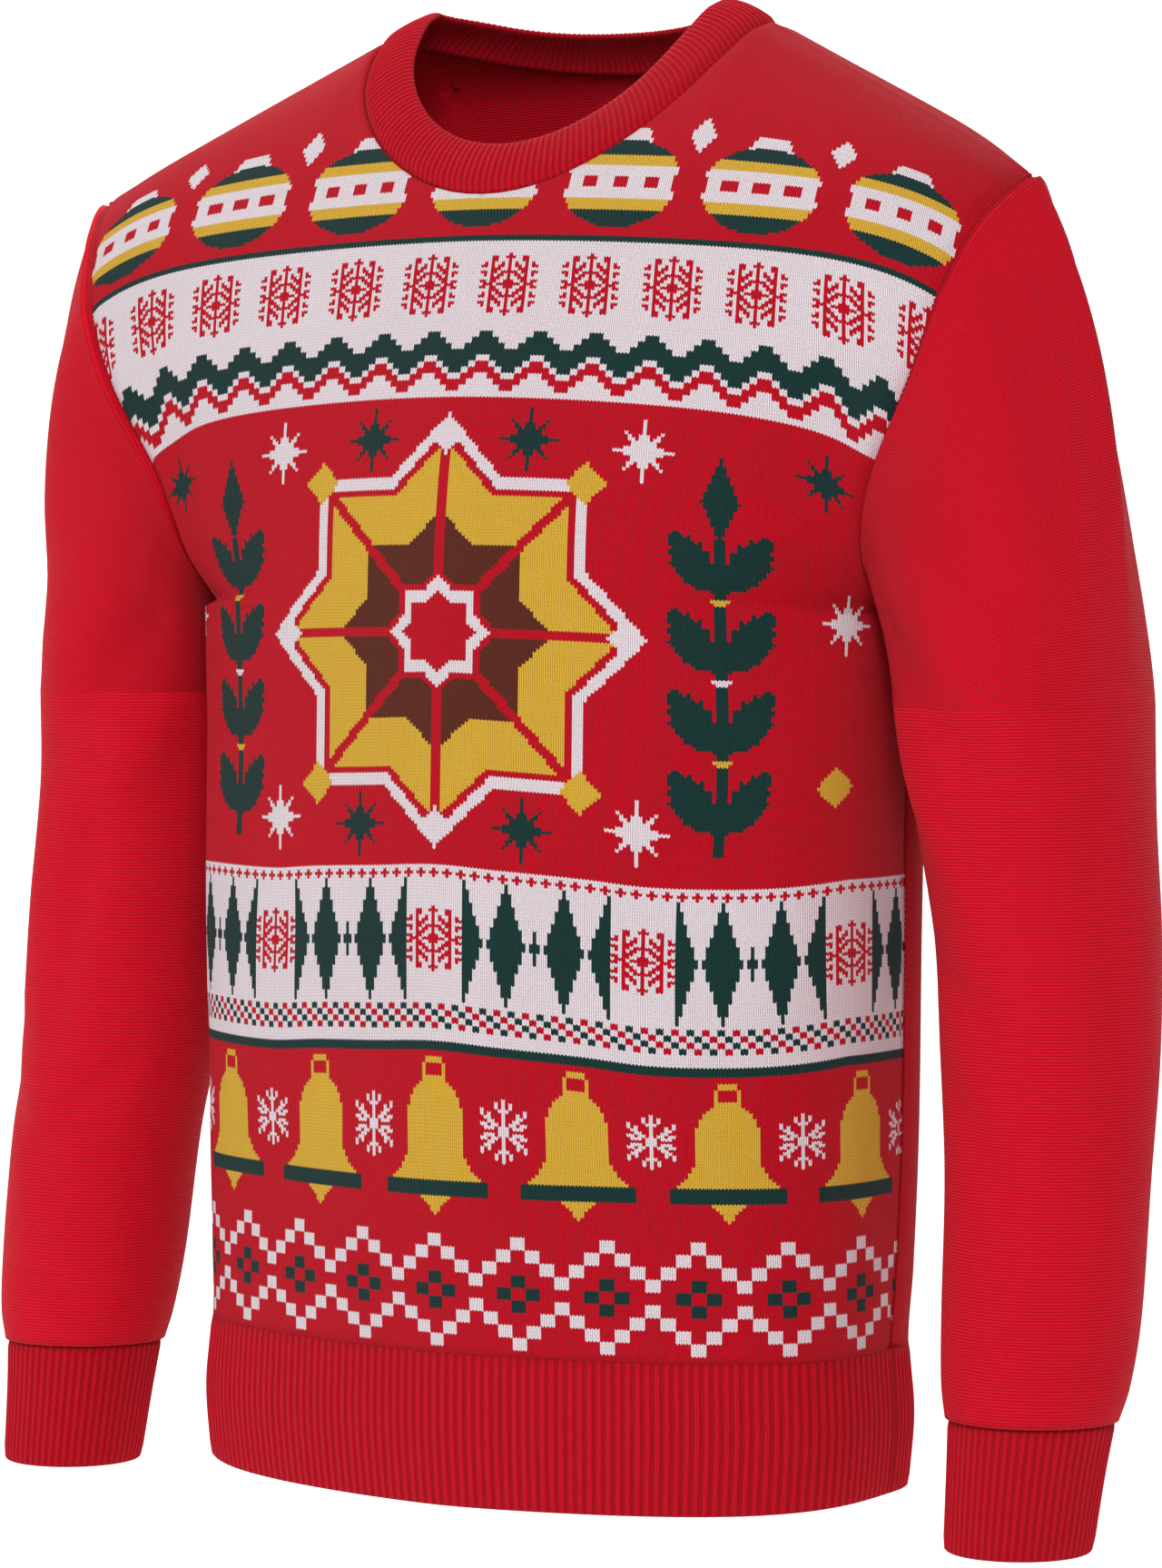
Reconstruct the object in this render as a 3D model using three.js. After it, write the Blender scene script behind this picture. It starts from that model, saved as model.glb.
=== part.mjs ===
// A crew-neck knitted pullover with long sleeves, hollow, as it hangs from its wearer's shoulders.
// Millimetres. +Z is up, the front faces -Y and the wearer's left is +X.
// The origin lies midway between the inner ends of the two shoulder seams.
// Pieces: front and back panels, two sleeves, neck rib, two cuffs, and a hem rib in two halves.
import * as THREE from "three";

// Cloth
const CLOTH = 2.0; // wall of the plain knitting
const RIB_WALL = 2.2; // wall of the ribbing, under its ribs
const RIB_RELIEF = 0.7; // how far a rib stands out of the groove beside it
const SEAM_GAP = 0.3; // between two pieces at a seam

// Heights, down from the inner end of the shoulder seam
const ARMPIT_Z = -262;
const PANEL_BOTTOM_Z = -581;
const HEM_Z = -643; // at the side seams; the front's middle hangs a little lower

// Shoulders and neck
const NECK_HALF = 98; // half the neck width, seam to seam
const SHOULDER_HALF = 238; // half the width across the shoulder tips
const SHOULDER_DROP = 72; // from the seam's inner end down to its tip
const SEAM_Y = -5; // the seam's inner end, front to back
const SHOULDER_FORWARD = 32; // how far its tip lies in front of the origin

// The body from its hem up to the armpits: half width at the side seam, how far front to back that seam lies,
// the same for the centre lines of both panels, and how far a row of knitting sags from its centre to the seam.
const BODY = [
  { z: -643, half: 164.5, seam: -19, front: -124, back: 57, sag: -4 },
  { z: -612, half: 166.5, seam: -18, front: -127, back: 60, sag: -2.2 },
  { z: -581, half: 164, seam: -16, front: -127, back: 57, sag: 0 },
  { z: -550, half: 165, seam: -13, front: -129, back: 60, sag: 0 },
  { z: -490, half: 166.5, seam: -10, front: -131, back: 62, sag: 0 },
  { z: -400, half: 167, seam: -8, front: -132, back: 64, sag: 0 },
  { z: -330, half: 168, seam: -8, front: -130, back: 70, sag: 2 },
  { z: -262, half: 172, seam: -8, front: -128, back: 78, sag: 8 },
];

// Each panel above the armpits, where up is 0, to the shoulder seam, where it is 1: its centre line (y, z), the
// edge at the armhole (edgeX, edgeY, edgeZ), the corner of a row's curve, where 1 turns fully into the side, and
// how evenly the row bulges.
const FRONT_YOKE = [
  { up: 0, y: -128, z: -254, edgeX: 172, edgeY: -8, edgeZ: -262, corner: 1, bulge: 0.31 },
  { up: 0.04, y: -127.6, z: -243, edgeX: 173.5, edgeY: -36, edgeZ: -254, corner: 0.985, bulge: 0.415 },
  { up: 0.095, y: -126.4, z: -226, edgeX: 174.5, edgeY: -59, edgeZ: -240, corner: 0.97, bulge: 0.545 },
  { up: 0.185, y: -122.8, z: -199, edgeX: 178, edgeY: -70, edgeZ: -221, corner: 0.95, bulge: 0.615 },
  { up: 0.285, y: -116.6, z: -169.5, edgeX: 185, edgeY: -75, edgeZ: -198, corner: 0.93, bulge: 0.63 },
  { up: 0.41, y: -106.6, z: -133, edgeX: 204, edgeY: -81, edgeZ: -160, corner: 0.92, bulge: 0.72 },
  { up: 0.54, y: -97, z: -96, edgeX: 217, edgeY: -79, edgeZ: -124, corner: 0.9, bulge: 0.8 },
  { up: 0.66, y: -82, z: -62, edgeX: 226, edgeY: -64, edgeZ: -96, corner: 0.9, bulge: 0.8 },
  { up: 0.8, y: -55, z: -29, edgeX: 233, edgeY: -48, edgeZ: -81, corner: 0.9, bulge: 0.8 },
  { up: 0.92, y: -24, z: -6, edgeX: 236.5, edgeY: -38, edgeZ: -74.5, corner: 0.9, bulge: 0.8 },
  { up: 1, y: -5, z: 0, edgeX: 238, edgeY: -32, edgeZ: -72, corner: 0.9, bulge: 0.8 },
];
const BACK_YOKE = [
  { up: 0, y: 78, z: -254, edgeX: 172, edgeY: -8, edgeZ: -262, corner: 1, bulge: 0 },
  { up: 0.05, y: 79.5, z: -240, edgeX: 174.5, edgeY: 14, edgeZ: -252, corner: 0.98, bulge: 0.1 },
  { up: 0.135, y: 82, z: -214, edgeX: 178.5, edgeY: 31, edgeZ: -232, corner: 0.95, bulge: 0.25 },
  { up: 0.25, y: 85, z: -178, edgeX: 186, edgeY: 41, edgeZ: -203, corner: 0.92, bulge: 0.4 },
  { up: 0.38, y: 86.5, z: -137, edgeX: 198, edgeY: 43, edgeZ: -166, corner: 0.9, bulge: 0.5 },
  { up: 0.51, y: 84, z: -96, edgeX: 210, edgeY: 37, edgeZ: -131, corner: 0.9, bulge: 0.6 },
  { up: 0.64, y: 77, z: -58, edgeX: 221, edgeY: 22, edgeZ: -102, corner: 0.9, bulge: 0.6 },
  { up: 0.76, y: 66, z: -22, edgeX: 230, edgeY: -1, edgeZ: -84, corner: 0.9, bulge: 0.6 },
  { up: 0.875, y: 34, z: -5, edgeX: 235.5, edgeY: -20, edgeZ: -75, corner: 0.9, bulge: 0.6 },
  { up: 1, y: -5, z: 0, edgeX: 238, edgeY: -32, edgeZ: -72, corner: 0.9, bulge: 0.6 },
];

// The left sleeve below its cap: centre and half widths across and front to back.
const SLEEVE = [
  { z: -300, x: 223.5, y: -6.5, across: 49.5, deep: 70 },
  { z: -350, x: 229.2, y: -8, across: 47.6, deep: 58.5 },
  { z: -400, x: 235.8, y: -10.5, across: 46, deep: 51 },
  { z: -450, x: 239.5, y: -16.2, across: 45, deep: 46 },
  { z: -500, x: 243, y: -25.8, across: 42, deep: 43 },
  { z: -560, x: 244.4, y: -35.4, across: 40.5, deep: 41 },
  { z: -588, x: 244.4, y: -41, across: 38, deep: 38.6 },
  { z: -601, x: 244, y: -43.6, across: 35, deep: 35.6 },
];
const CUFF = [
  { z: -601, x: 244, y: -43.6, across: 35, deep: 35.6 },
  { z: -625, x: 243.4, y: -48.8, across: 32.9, deep: 33.5 },
  { z: -655, x: 243, y: -55, across: 31, deep: 31.6 },
];
const CAP_REACH = 0.95; // how far the top of a cap runs on from the shoulder, as a share of its length
const PIT_REACH = 0.5; // the same under the arm
const ARM_REACH = 0.55; // how far its lower end already points down the arm
const CAP_LIFT = 0.75; // how strongly the top of a cap leaves the armhole in the panels' own direction
const PIT_LIFT = 0.3; // how strongly the cloth under the arm stands off the body
const FOLD = 0.7; // the width of the turn at the seam, where the sleeve folds down beside the body

// The neck rib: its width, and how far it leans into the neck at the front, the sides and the back.
const COLLAR_WIDTH = 26;
const COLLAR_LEAN = { front: 0.5, side: 0.91, back: 0.8 };
const NECK_MIDDLE_Y = -9; // the middle of the neck opening, front to back
const COLLAR_CROWN = 2.2; // how far it bulges between its seam and its edge
const COLLAR_CLEAR = 0.1; // a little more gap, as its ribs cut across the panels' corners

// Ribs
const HEM_RIBS = 106; // on each half of the hem
const CUFF_RIBS = 56;
const COLLAR_RIBS = 150;

// Soft creases, as ridges (height over 0) and troughs between two points of a surface. On a panel the two
// numbers are the distance out from the centre and the height. On a sleeve they are degrees round it, with 0
// outside, 90 in front and 180 inside, and the height.
const FRONT_CREASES = [
  { from: [168, -215], to: [120, -330], width: 20, height: -5.5 },
  { from: [178, -262], to: [150, -420], width: 17, height: 4.5 },
  { from: [-168, -215], to: [-126, -320], width: 20, height: -5 },
  { from: [-176, -262], to: [-152, -430], width: 17, height: 4 },
  { from: [186, -140], to: [152, -205], width: 15, height: -4 },
  { from: [-188, -145], to: [-156, -200], width: 15, height: -4 },
  { from: [60, -500], to: [130, -560], width: 26, height: -2.5 },
  { from: [-70, -470], to: [-130, -545], width: 26, height: -2.5 },
];
const BACK_CREASES = [
  { from: [160, -220], to: [105, -330], width: 22, height: -5 },
  { from: [-160, -220], to: [-98, -340], width: 22, height: -5 },
  { from: [-60, -430], to: [70, -455], width: 24, height: -4 },
  { from: [-80, -500], to: [50, -520], width: 22, height: -3.5 },
  { from: [30, -385], to: [130, -400], width: 20, height: -3 },
  { from: [-150, -150], to: [-60, -190], width: 26, height: -3 },
  { from: [150, -155], to: [66, -190], width: 26, height: -3 },
];
const LEFT_SLEEVE_CREASES = [
  { from: [150, -250], to: [72, -340], width: 13, height: -5 },
  { from: [158, -285], to: [95, -390], width: 12, height: 4 },
  { from: [118, -200], to: [52, -270], width: 14, height: -3.5 },
  { from: [165, -400], to: [95, -430], width: 11, height: -3.5 },
  { from: [215, -265], to: [285, -345], width: 14, height: -4.5 },
  { from: [200, -385], to: [262, -420], width: 11, height: -3.5 },
  { from: [40, -300], to: [28, -460], width: 14, height: -2 },
  { from: [60, -560], to: [130, -578], width: 9, height: -2.5 },
  { from: [230, -566], to: [300, -580], width: 9, height: -2.5 },
];
const RIGHT_SLEEVE_CREASES = [
  { from: [150, -245], to: [66, -330], width: 13, height: -5 },
  { from: [160, -290], to: [84, -360], width: 12, height: 4 },
  { from: [112, -190], to: [48, -255], width: 15, height: -3.5 },
  { from: [100, -330], to: [80, -450], width: 12, height: -4 },
  { from: [60, -340], to: [45, -440], width: 11, height: 3 },
  { from: [215, -260], to: [285, -340], width: 14, height: -4.5 },
  { from: [205, -400], to: [268, -430], width: 11, height: -3.5 },
  { from: [50, -566], to: [120, -580], width: 9, height: -2.5 },
  { from: [235, -560], to: [305, -576], width: 9, height: -2.5 },
];
const CREASE_FADE = 22; // creases die out this near a seam

// The front's rows run flat and then turn fast into the side. The back's are rounder. The neckline's lowest point
// lies at neckUp.
const SIDES = {
  front: {
    facing: -1,
    column: "front",
    yoke: FRONT_YOKE,
    squareness: 4,
    bulge: 0.31,
    neckUp: 0.603,
    creases: FRONT_CREASES,
  },
  back: {
    facing: 1,
    column: "back",
    yoke: BACK_YOKE,
    squareness: 2.4,
    bulge: 0,
    neckUp: 0.8,
    creases: BACK_CREASES,
  },
};

// How finely each piece is divided
const PANEL_COLUMNS = 14; // on each side of the centre
const BODY_ROWS = 9;
const NECK_ROWS = { front: 9, back: 4 }; // beside the neckline
const CAP_RINGS = 6;
const ARM_RINGS = 10;

const RED = 0xb80f1e;

const vec = (x, y, z) => new THREE.Vector3(x, y, z);
const mix = (a, b, s) => a + (b - a) * s;
const smooth = (s) => {
  const c = Math.min(1, Math.max(0, s));
  return c * c * (3 - 2 * c);
};

// A smooth curve through a table's rows: the value of one column where another column has a given value.
function along(table, by, at, column) {
  const order = table[0][by] < table[table.length - 1][by] ? 1 : -1;
  let i = 0;
  while (i < table.length - 2 && order * at > order * table[i + 1][by]) i++;
  const row = (k) => table[Math.min(table.length - 1, Math.max(0, k))];
  const slope = (k) => {
    const [a, b] = [row(k - 1), row(k + 1)];
    return (b[column] - a[column]) / (b[by] - a[by]);
  };
  const span = row(i + 1)[by] - row(i)[by];
  const s = Math.min(1, Math.max(0, (at - row(i)[by]) / span));
  const [s2, s3] = [s * s, s * s * s];
  return (
    (2 * s3 - 3 * s2 + 1) * row(i)[column] +
    (s3 - 2 * s2 + s) * span * slope(i) +
    (3 * s2 - 2 * s3) * row(i + 1)[column] +
    (s3 - s2) * span * slope(i + 1)
  );
}

// One row of knitting on one side: a level below the armpits (z) or above them (up), and all that its curve needs.
function rowAt(side, { z, up }) {
  if (up === undefined) {
    const get = (column) => along(BODY, "z", z, column);
    const centre = { y: get(side.column), z: z + get("sag") };
    return { z, centre, edge: vec(get("half"), get("seam"), z), corner: 1, bulge: side.bulge, crest: 0 };
  }
  const get = (column) => along(side.yoke, "up", up, column);
  const edge = vec(get("edgeX"), get("edgeY"), get("edgeZ"));
  const centre = { y: get("y"), z: get("z") };
  return { up, centre, edge, corner: get("corner"), bulge: get("bulge"), crest: smooth((up - 0.6) / 0.4) };
}

// A point of a row, out from its centre line by a share of its half width. Near the shoulder seam the row follows
// the seam's straight line from the neck to the shoulder tip.
function onRow(side, row, share) {
  const power = side.squareness;
  const out = Math.abs(share);
  const turn = (c) => 1 - Math.max(0, 1 - c ** power) ** (1 / power);
  const rounded = mix(turn(row.corner * out) / turn(row.corner), out ** 1.5, row.bulge);
  const sagged = 0.5 * out ** 1.8 + 0.5 * out ** 8;
  const neck = NECK_HALF / row.edge.x;
  const seam = Math.max(0, (out - neck) / (1 - neck));
  return vec(
    row.edge.x * share,
    mix(row.centre.y, row.edge.y, mix(rounded, seam, row.crest)),
    mix(row.centre.z, row.edge.z, mix(sagged, seam, row.crest)),
  );
}

// Even steps along a row, from one share of its half width to another.
function evenSteps(side, row, from, to, steps) {
  const fine = 120;
  const samples = Array.from({ length: fine + 1 }, (_, i) => {
    // The samples crowd towards the side, where the row turns away.
    const s = mix(from, to, i / fine);
    return Math.sign(s) * Math.sin((Math.abs(s) * Math.PI) / 2);
  });
  const points = samples.map((share) => onRow(side, row, share));
  const run = [0];
  for (let i = 1; i <= fine; i++) run.push(run[i - 1] + points[i].distanceTo(points[i - 1]));
  return Array.from({ length: steps + 1 }, (_, k) => {
    if (k === 0) return { share: samples[0], point: points[0] };
    if (k === steps) return { share: samples[fine], point: points[fine] };
    const want = (run[fine] * k) / steps;
    const i = run.findIndex((d) => d > want) - 1;
    const share = mix(samples[i], samples[i + 1], (want - run[i]) / (run[i + 1] - run[i]));
    return { share, point: onRow(side, row, share) };
  });
}

// How far the creases lift a point of a surface, from a table of creases.
function creaseLift(creases, a, b, scale = 1) {
  let lift = 0;
  for (const { from, to, width, height } of creases) {
    const [px, pz] = [(a - from[0]) * scale, b - from[1]];
    const [dx, dz] = [(to[0] - from[0]) * scale, to[1] - from[1]];
    const s = Math.min(1, Math.max(0, (px * dx + pz * dz) / (dx * dx + dz * dz)));
    const off = Math.hypot(px - s * dx, pz - s * dz);
    lift += height * Math.exp(-((off / width) ** 2)) * (0.55 + 0.45 * Math.sin(Math.PI * s));
  }
  return lift;
}

// A surface is a list of points and triangles of their indices, with the wall's direction at each point.
class Surface {
  constructor() {
    this.points = [];
    this.triangles = [];
    this.fixed = new Map();
  }
  add(point) {
    this.points.push(point);
    return this.points.length - 1;
  }
  // Two triangles for the patch a, b, c, d, which runs anticlockwise seen from outside.
  patch(a, b, c, d) {
    this.triangles.push([a, b, c], [a, c, d]);
  }
  normals() {
    const sums = this.points.map(() => vec(0, 0, 0));
    for (const [a, b, c] of this.triangles) {
      const [pa, pb, pc] = [this.points[a], this.points[b], this.points[c]];
      const n = pb.clone().sub(pa).cross(pc.clone().sub(pa));
      for (const i of [a, b, c]) sums[i].add(n);
    }
    return sums.map((n, i) => (this.fixed.get(i) ?? n).clone().normalize());
  }
}

// Gives a surface a wall of cloth, inwards, with closed edges.
function wallOf(surface, thickness) {
  const normals = surface.normals();
  const count = surface.points.length;
  const inner = surface.points.map((p, i) => p.clone().addScaledVector(normals[i], -thickness));
  const triangles = [...surface.triangles];
  const used = new Map();
  for (const [a, b, c] of surface.triangles) {
    triangles.push([a + count, c + count, b + count]);
    for (const [p, q] of [[a, b], [b, c], [c, a]]) used.set(`${p},${q}`, [p, q]);
  }
  for (const [p, q] of used.values()) {
    if (used.has(`${q},${p}`)) continue;
    triangles.push([q, p, p + count], [q, p + count, q + count]);
  }
  return { points: [...surface.points, ...inner], triangles };
}

// The triangles between two rows of points of different counts, both running the same way.
function strip(rowA, rowB, positions, closed) {
  const triangles = [];
  const place = (row) => {
    const at = [0];
    const ends = closed ? [...row, row[0]] : row;
    for (let i = 1; i < ends.length; i++) {
      at.push(at[i - 1] + positions[ends[i]].distanceTo(positions[ends[i - 1]]));
    }
    return at.map((d) => d / at[at.length - 1]);
  };
  const [atA, atB] = [place(rowA), place(rowB)];
  const pick = (row, i) => row[i % row.length];
  let [i, j] = [0, 0];
  while (i < atA.length - 1 || j < atB.length - 1) {
    const stepA = j === atB.length - 1 || (i < atA.length - 1 && atA[i + 1] <= atB[j + 1]);
    if (stepA) {
      triangles.push([pick(rowA, i), pick(rowA, i + 1), pick(rowB, j)]);
      i++;
    } else {
      triangles.push([pick(rowA, i), pick(rowB, j + 1), pick(rowB, j)]);
      j++;
    }
  }
  return triangles;
}

// A band with ribs on its outer rows and a plain inside. The rows run from its seam to its free edge, anticlockwise
// round the band seen from that free edge's side.
function bandOf(outerRows, innerRows, closed) {
  const points = [];
  const keep = (row) => row.map((p) => points.push(p) - 1);
  const [outer, inner] = [outerRows.map(keep), innerRows.map(keep)];
  const triangles = [];
  const join = (a, b) => triangles.push(...strip(a, b, points, closed));
  for (let k = 1; k < outer.length; k++) join(outer[k - 1], outer[k]);
  join(outer[outer.length - 1], inner[inner.length - 1]);
  for (let k = inner.length - 1; k > 0; k--) join(inner[k], inner[k - 1]);
  join(inner[0], outer[0]);
  if (!closed) {
    for (const last of [false, true]) {
      const end = (row) => row[last ? row.length - 1 : 0];
      const loop = [...outer.map(end), ...inner.map(end).reverse()];
      const [a, b] = [outer.length - 1, inner.length - 1];
      const cap = [];
      for (let k = 0; k < Math.max(a, b); k++) {
        const [o0, o1] = [loop[Math.min(k, a)], loop[Math.min(k + 1, a)]];
        const back = (m) => loop[loop.length - 1 - Math.min(m, b)];
        if (o0 !== o1) cap.push([o0, back(k), o1]);
        if (back(k) !== back(k + 1)) cap.push([back(k), back(k + 1), o1]);
      }
      triangles.push(...cap.map(([p, q, r]) => (last ? [p, q, r] : [p, r, q])));
    }
  }
  return { points, triangles };
}

function meshOf(name, { points, triangles }) {
  const geometry = new THREE.BufferGeometry();
  geometry.setAttribute("position", new THREE.Float32BufferAttribute(points.flatMap((p) => [p.x, p.y, p.z]), 3));
  geometry.setIndex(triangles.flat());
  geometry.computeVertexNormals();
  const mesh = new THREE.Mesh(geometry, new THREE.MeshStandardMaterial({ color: RED, roughness: 0.9, metalness: 0 }));
  mesh.name = name;
  return mesh;
}

// The other side's piece: its mirror image in the plane x = 0.
function mirrored({ points, triangles }) {
  return {
    points: points.map((p) => vec(-p.x, p.y, p.z)),
    triangles: triangles.map(([a, b, c]) => [a, c, b]),
  };
}

// A panel is a grid from its hem up to the shoulder seams, slit at the centre above the neckline's lowest point.
// Each row starts at a share of its half width, which is 0 below the neckline and beside it above.
function panelRows(side) {
  const rows = [];
  for (let k = 0; k < BODY_ROWS; k++) {
    const z = mix(PANEL_BOTTOM_Z + SEAM_GAP / 2, ARMPIT_Z, k / BODY_ROWS);
    rows.push({ ...rowAt(side, { z }), start: 0 });
  }
  for (const { up } of side.yoke) {
    if (up < side.neckUp - 0.05) rows.push({ ...rowAt(side, { up }), start: 0 });
  }
  const steps = NECK_ROWS[side.column];
  for (let k = 0; k <= steps; k++) {
    const fall = Math.cos((k / steps) * (Math.PI / 2)) ** 2;
    const row = rowAt(side, { up: 1 - (1 - side.neckUp) * fall });
    const neck = (NECK_HALF * Math.sqrt(1 - fall * fall)) / row.edge.x;
    const start = (Math.asin(neck) * 2) / Math.PI;
    rows.push({ ...row, start, slit: k > 0, last: k === steps, neckline: true });
  }
  return rows;
}

function makePanel(side) {
  const surface = new Surface();
  const rows = panelRows(side);
  const shoulder = vec(SHOULDER_HALF - NECK_HALF, -SHOULDER_FORWARD - SEAM_Y, -SHOULDER_DROP).normalize();
  const place = (row, { share, point }, sign) => {
    const p = point.clone();
    p.x *= sign;
    const out = Math.abs(share);
    const seamed = out === 1 && !(row.up > 0);
    const toEdge = Math.min(
      (1 - out) * row.edge.x * 1.4,
      p.z - PANEL_BOTTOM_Z,
      row.up === undefined ? CREASE_FADE : (1 - row.up) * 300,
      row.neckline ? (out - NECK_HALF / row.edge.x) * row.edge.x : CREASE_FADE,
    );
    p.y += side.facing * creaseLift(side.creases, p.x, p.z) * smooth(toEdge / CREASE_FADE);
    if (row.last || seamed) p.y += (side.facing * SEAM_GAP) / 2;
    const index = surface.add(p);
    if (row.last) {
      const tangent = shoulder.clone().multiply(vec(sign, 1, 1));
      const up = vec(0, 0, 1).addScaledVector(tangent, -tangent.z);
      surface.fixed.set(index, up.normalize());
    } else if (seamed) surface.fixed.set(index, vec(sign, 0, 0));
    return index;
  };
  const ids = rows.map((row) => {
    const steps = evenSteps(side, row, row.start, 1, PANEL_COLUMNS);
    if (row.slit) {
      return { left: steps.map((step) => place(row, step, 1)), right: steps.map((step) => place(row, step, -1)) };
    }
    const centre = place(row, steps[0], 1);
    const half = (sign) => [centre, ...steps.slice(1).map((step) => place(row, step, sign))];
    return { left: half(1), right: half(-1) };
  });
  for (let r = 1; r < ids.length; r++) {
    for (const [name, sign] of [["left", 1], ["right", -1]]) {
      const [low, high] = [ids[r - 1][name], ids[r][name]];
      for (let c = 1; c <= PANEL_COLUMNS; c++) {
        const quad = [low[c - 1], low[c], high[c], high[c - 1]];
        surface.patch(...(sign * side.facing < 0 ? quad : quad.reverse()));
      }
    }
  }
  return { surface, ids, rows };
}

// Gives each point of a closed seam the way along it and the way off the panel.
function rimOf(ring) {
  ring.forEach((point, i) => {
    const [before, after] = [ring[(i + ring.length - 1) % ring.length], ring[(i + 1) % ring.length]];
    const run = after.at.clone().sub(before.at);
    point.run = run.addScaledVector(point.normal, -run.dot(point.normal)).normalize();
    point.away = point.normal.clone().cross(run);
  });
  return ring;
}

const panels = { front: makePanel(SIDES.front), back: makePanel(SIDES.back) };
for (const panel of Object.values(panels)) panel.normals = panel.surface.normals();

// One armhole, from the shoulder tip down the front edge to the armpit and up the back edge, as if it were the
// left one: each point, the panel's wall direction there, the way along the edge, and the way off the panel.
function armholeRing(half) {
  const sign = half === "left" ? 1 : -1;
  const edge = (panel) => {
    const rows = panel.ids.filter((_, r) => panel.rows[r].up !== undefined);
    return rows.map((row) => {
      const id = row[half][PANEL_COLUMNS];
      const flip = vec(sign, 1, 1);
      return { at: panel.surface.points[id].clone().multiply(flip), normal: panel.normals[id].clone().multiply(flip) };
    });
  };
  const [front, back] = [edge(panels.front).reverse(), edge(panels.back)];
  const blend = (a, b) => ({
    at: a.at.clone().lerp(b.at, 0.5),
    normal: a.normal.clone().add(b.normal).normalize(),
  });
  const tip = blend(front[0], back[back.length - 1]);
  const pit = blend(front[front.length - 1], back[0]);
  const ring = [tip, ...front.slice(1, -1), pit, ...back.slice(1, -1)];
  return rimOf(ring);
}

// How far round the sleeve each point of the armhole belongs, in turns from the outside by way of the front.
function turnsOf(ring) {
  const half = ring.length / 2;
  const lengths = ring.map((p, i) => p.at.distanceTo(ring[(i + 1) % ring.length].at));
  const sum = (from, to) => lengths.slice(from, to).reduce((a, b) => a + b, 0);
  return ring.map((_, i) => {
    if (i <= half) return (0.5 * sum(0, i)) / sum(0, half);
    return 0.5 + (0.5 * sum(half, i)) / sum(half, ring.length);
  });
}

// A point of a sleeve ring from a table of rings.
function onSleeve(table, z, turn) {
  const get = (column) => along(table, "z", z, column);
  const angle = turn * 2 * Math.PI;
  return vec(get("x") + get("across") * Math.cos(angle), get("y") - get("deep") * Math.sin(angle), z);
}

function makeSleeve(half, creases) {
  const surface = new Surface();
  const ring = armholeRing(half);
  const turns = turnsOf(ring);
  const [top, bottom] = [SLEEVE[0].z, SLEEVE[SLEEVE.length - 1].z + SEAM_GAP / 2];
  const down = onSleeve(SLEEVE, -320, 0).sub(onSleeve(SLEEVE, top, 0)).normalize();
  const ends = turns.map((turn) => onSleeve(SLEEVE, top, turn));
  const starts = ring.map((edge) => edge.at.clone().addScaledVector(edge.away, SEAM_GAP));
  // How far each point lies under the arm: 0 at the shoulder tip, 1 at the armpit.
  const under = turns.map((turn) => 0.5 - 0.5 * Math.cos(turn * 2 * Math.PI));
  const leaves = ring.map((edge, i) => {
    const way = ends[i].clone().sub(starts[i]).normalize();
    way.addScaledVector(edge.away, CAP_LIFT * (1 - under[i]) ** 2);
    way.addScaledVector(edge.normal, PIT_LIFT * under[i] ** 2);
    return way.addScaledVector(edge.run, -way.dot(edge.run)).normalize();
  });
  const folds = starts.map((start, i) => start.clone().addScaledVector(leaves[i], FOLD));
  const levels = [starts];
  for (let k = 0; k <= CAP_RINGS; k++) {
    const s = k / CAP_RINGS;
    const [s2, s3] = [s * s, s * s * s];
    levels.push(
      folds.map((fold, i) => {
        const length = ends[i].distanceTo(fold);
        return fold
          .clone()
          .multiplyScalar(2 * s3 - 3 * s2 + 1)
          .addScaledVector(leaves[i], (s3 - 2 * s2 + s) * length * mix(CAP_REACH, PIT_REACH, under[i]))
          .addScaledVector(ends[i], 3 * s2 - 2 * s3)
          .addScaledVector(down, (s3 - s2) * length * ARM_REACH);
      }),
    );
  }
  for (let k = 1; k <= ARM_RINGS; k++) {
    const z = mix(top, bottom, k / ARM_RINGS);
    levels.push(turns.map((turn) => onSleeve(SLEEVE, z, turn)));
  }
  // Creases push the cloth away from or towards the sleeve's own middle line, but not under the arm.
  levels.forEach((points, k) => {
    const sum = points.reduce((a, p) => a.add(p), vec(0, 0, 0));
    const middle = sum.divideScalar(points.length);
    points.forEach((p, i) => {
      const fade = smooth((p.z - bottom) / CREASE_FADE) * smooth((k - 1) / 3);
      const out = p.clone().sub(middle).setZ(0).normalize();
      const degrees = turns[i] * 360;
      const clear = smooth((Math.abs(degrees - 180) - 22) / 30);
      p.addScaledVector(out, creaseLift(creases, degrees, p.z, 0.9) * fade * clear);
    });
  });
  const ids = levels.map((points) => points.map((p) => surface.add(p)));
  ring.forEach((edge, i) => {
    surface.fixed.set(ids[0][i], edge.normal);
    // Halfway round the fold the wall stands halfway between the panel's and the sleeve's own.
    const fold = Math.atan2(leaves[i].dot(edge.normal), leaves[i].dot(edge.away)) / 2;
    const halfway = edge.normal.clone().multiplyScalar(Math.cos(fold)).addScaledVector(edge.away, -Math.sin(fold));
    surface.fixed.set(ids[1][i], halfway);
    const angle = turns[i] * 2 * Math.PI;
    surface.fixed.set(ids[ids.length - 1][i], vec(Math.cos(angle), -Math.sin(angle), 0));
  });
  for (let k = 1; k < ids.length; k++) {
    for (let i = 0; i < ring.length; i++) {
      const j = (i + 1) % ring.length;
      surface.patch(ids[k - 1][i], ids[k][i], ids[k][j], ids[k - 1][j]);
    }
  }
  const wall = wallOf(surface, CLOTH);
  return half === "left" ? wall : mirrored(wall);
}

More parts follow.
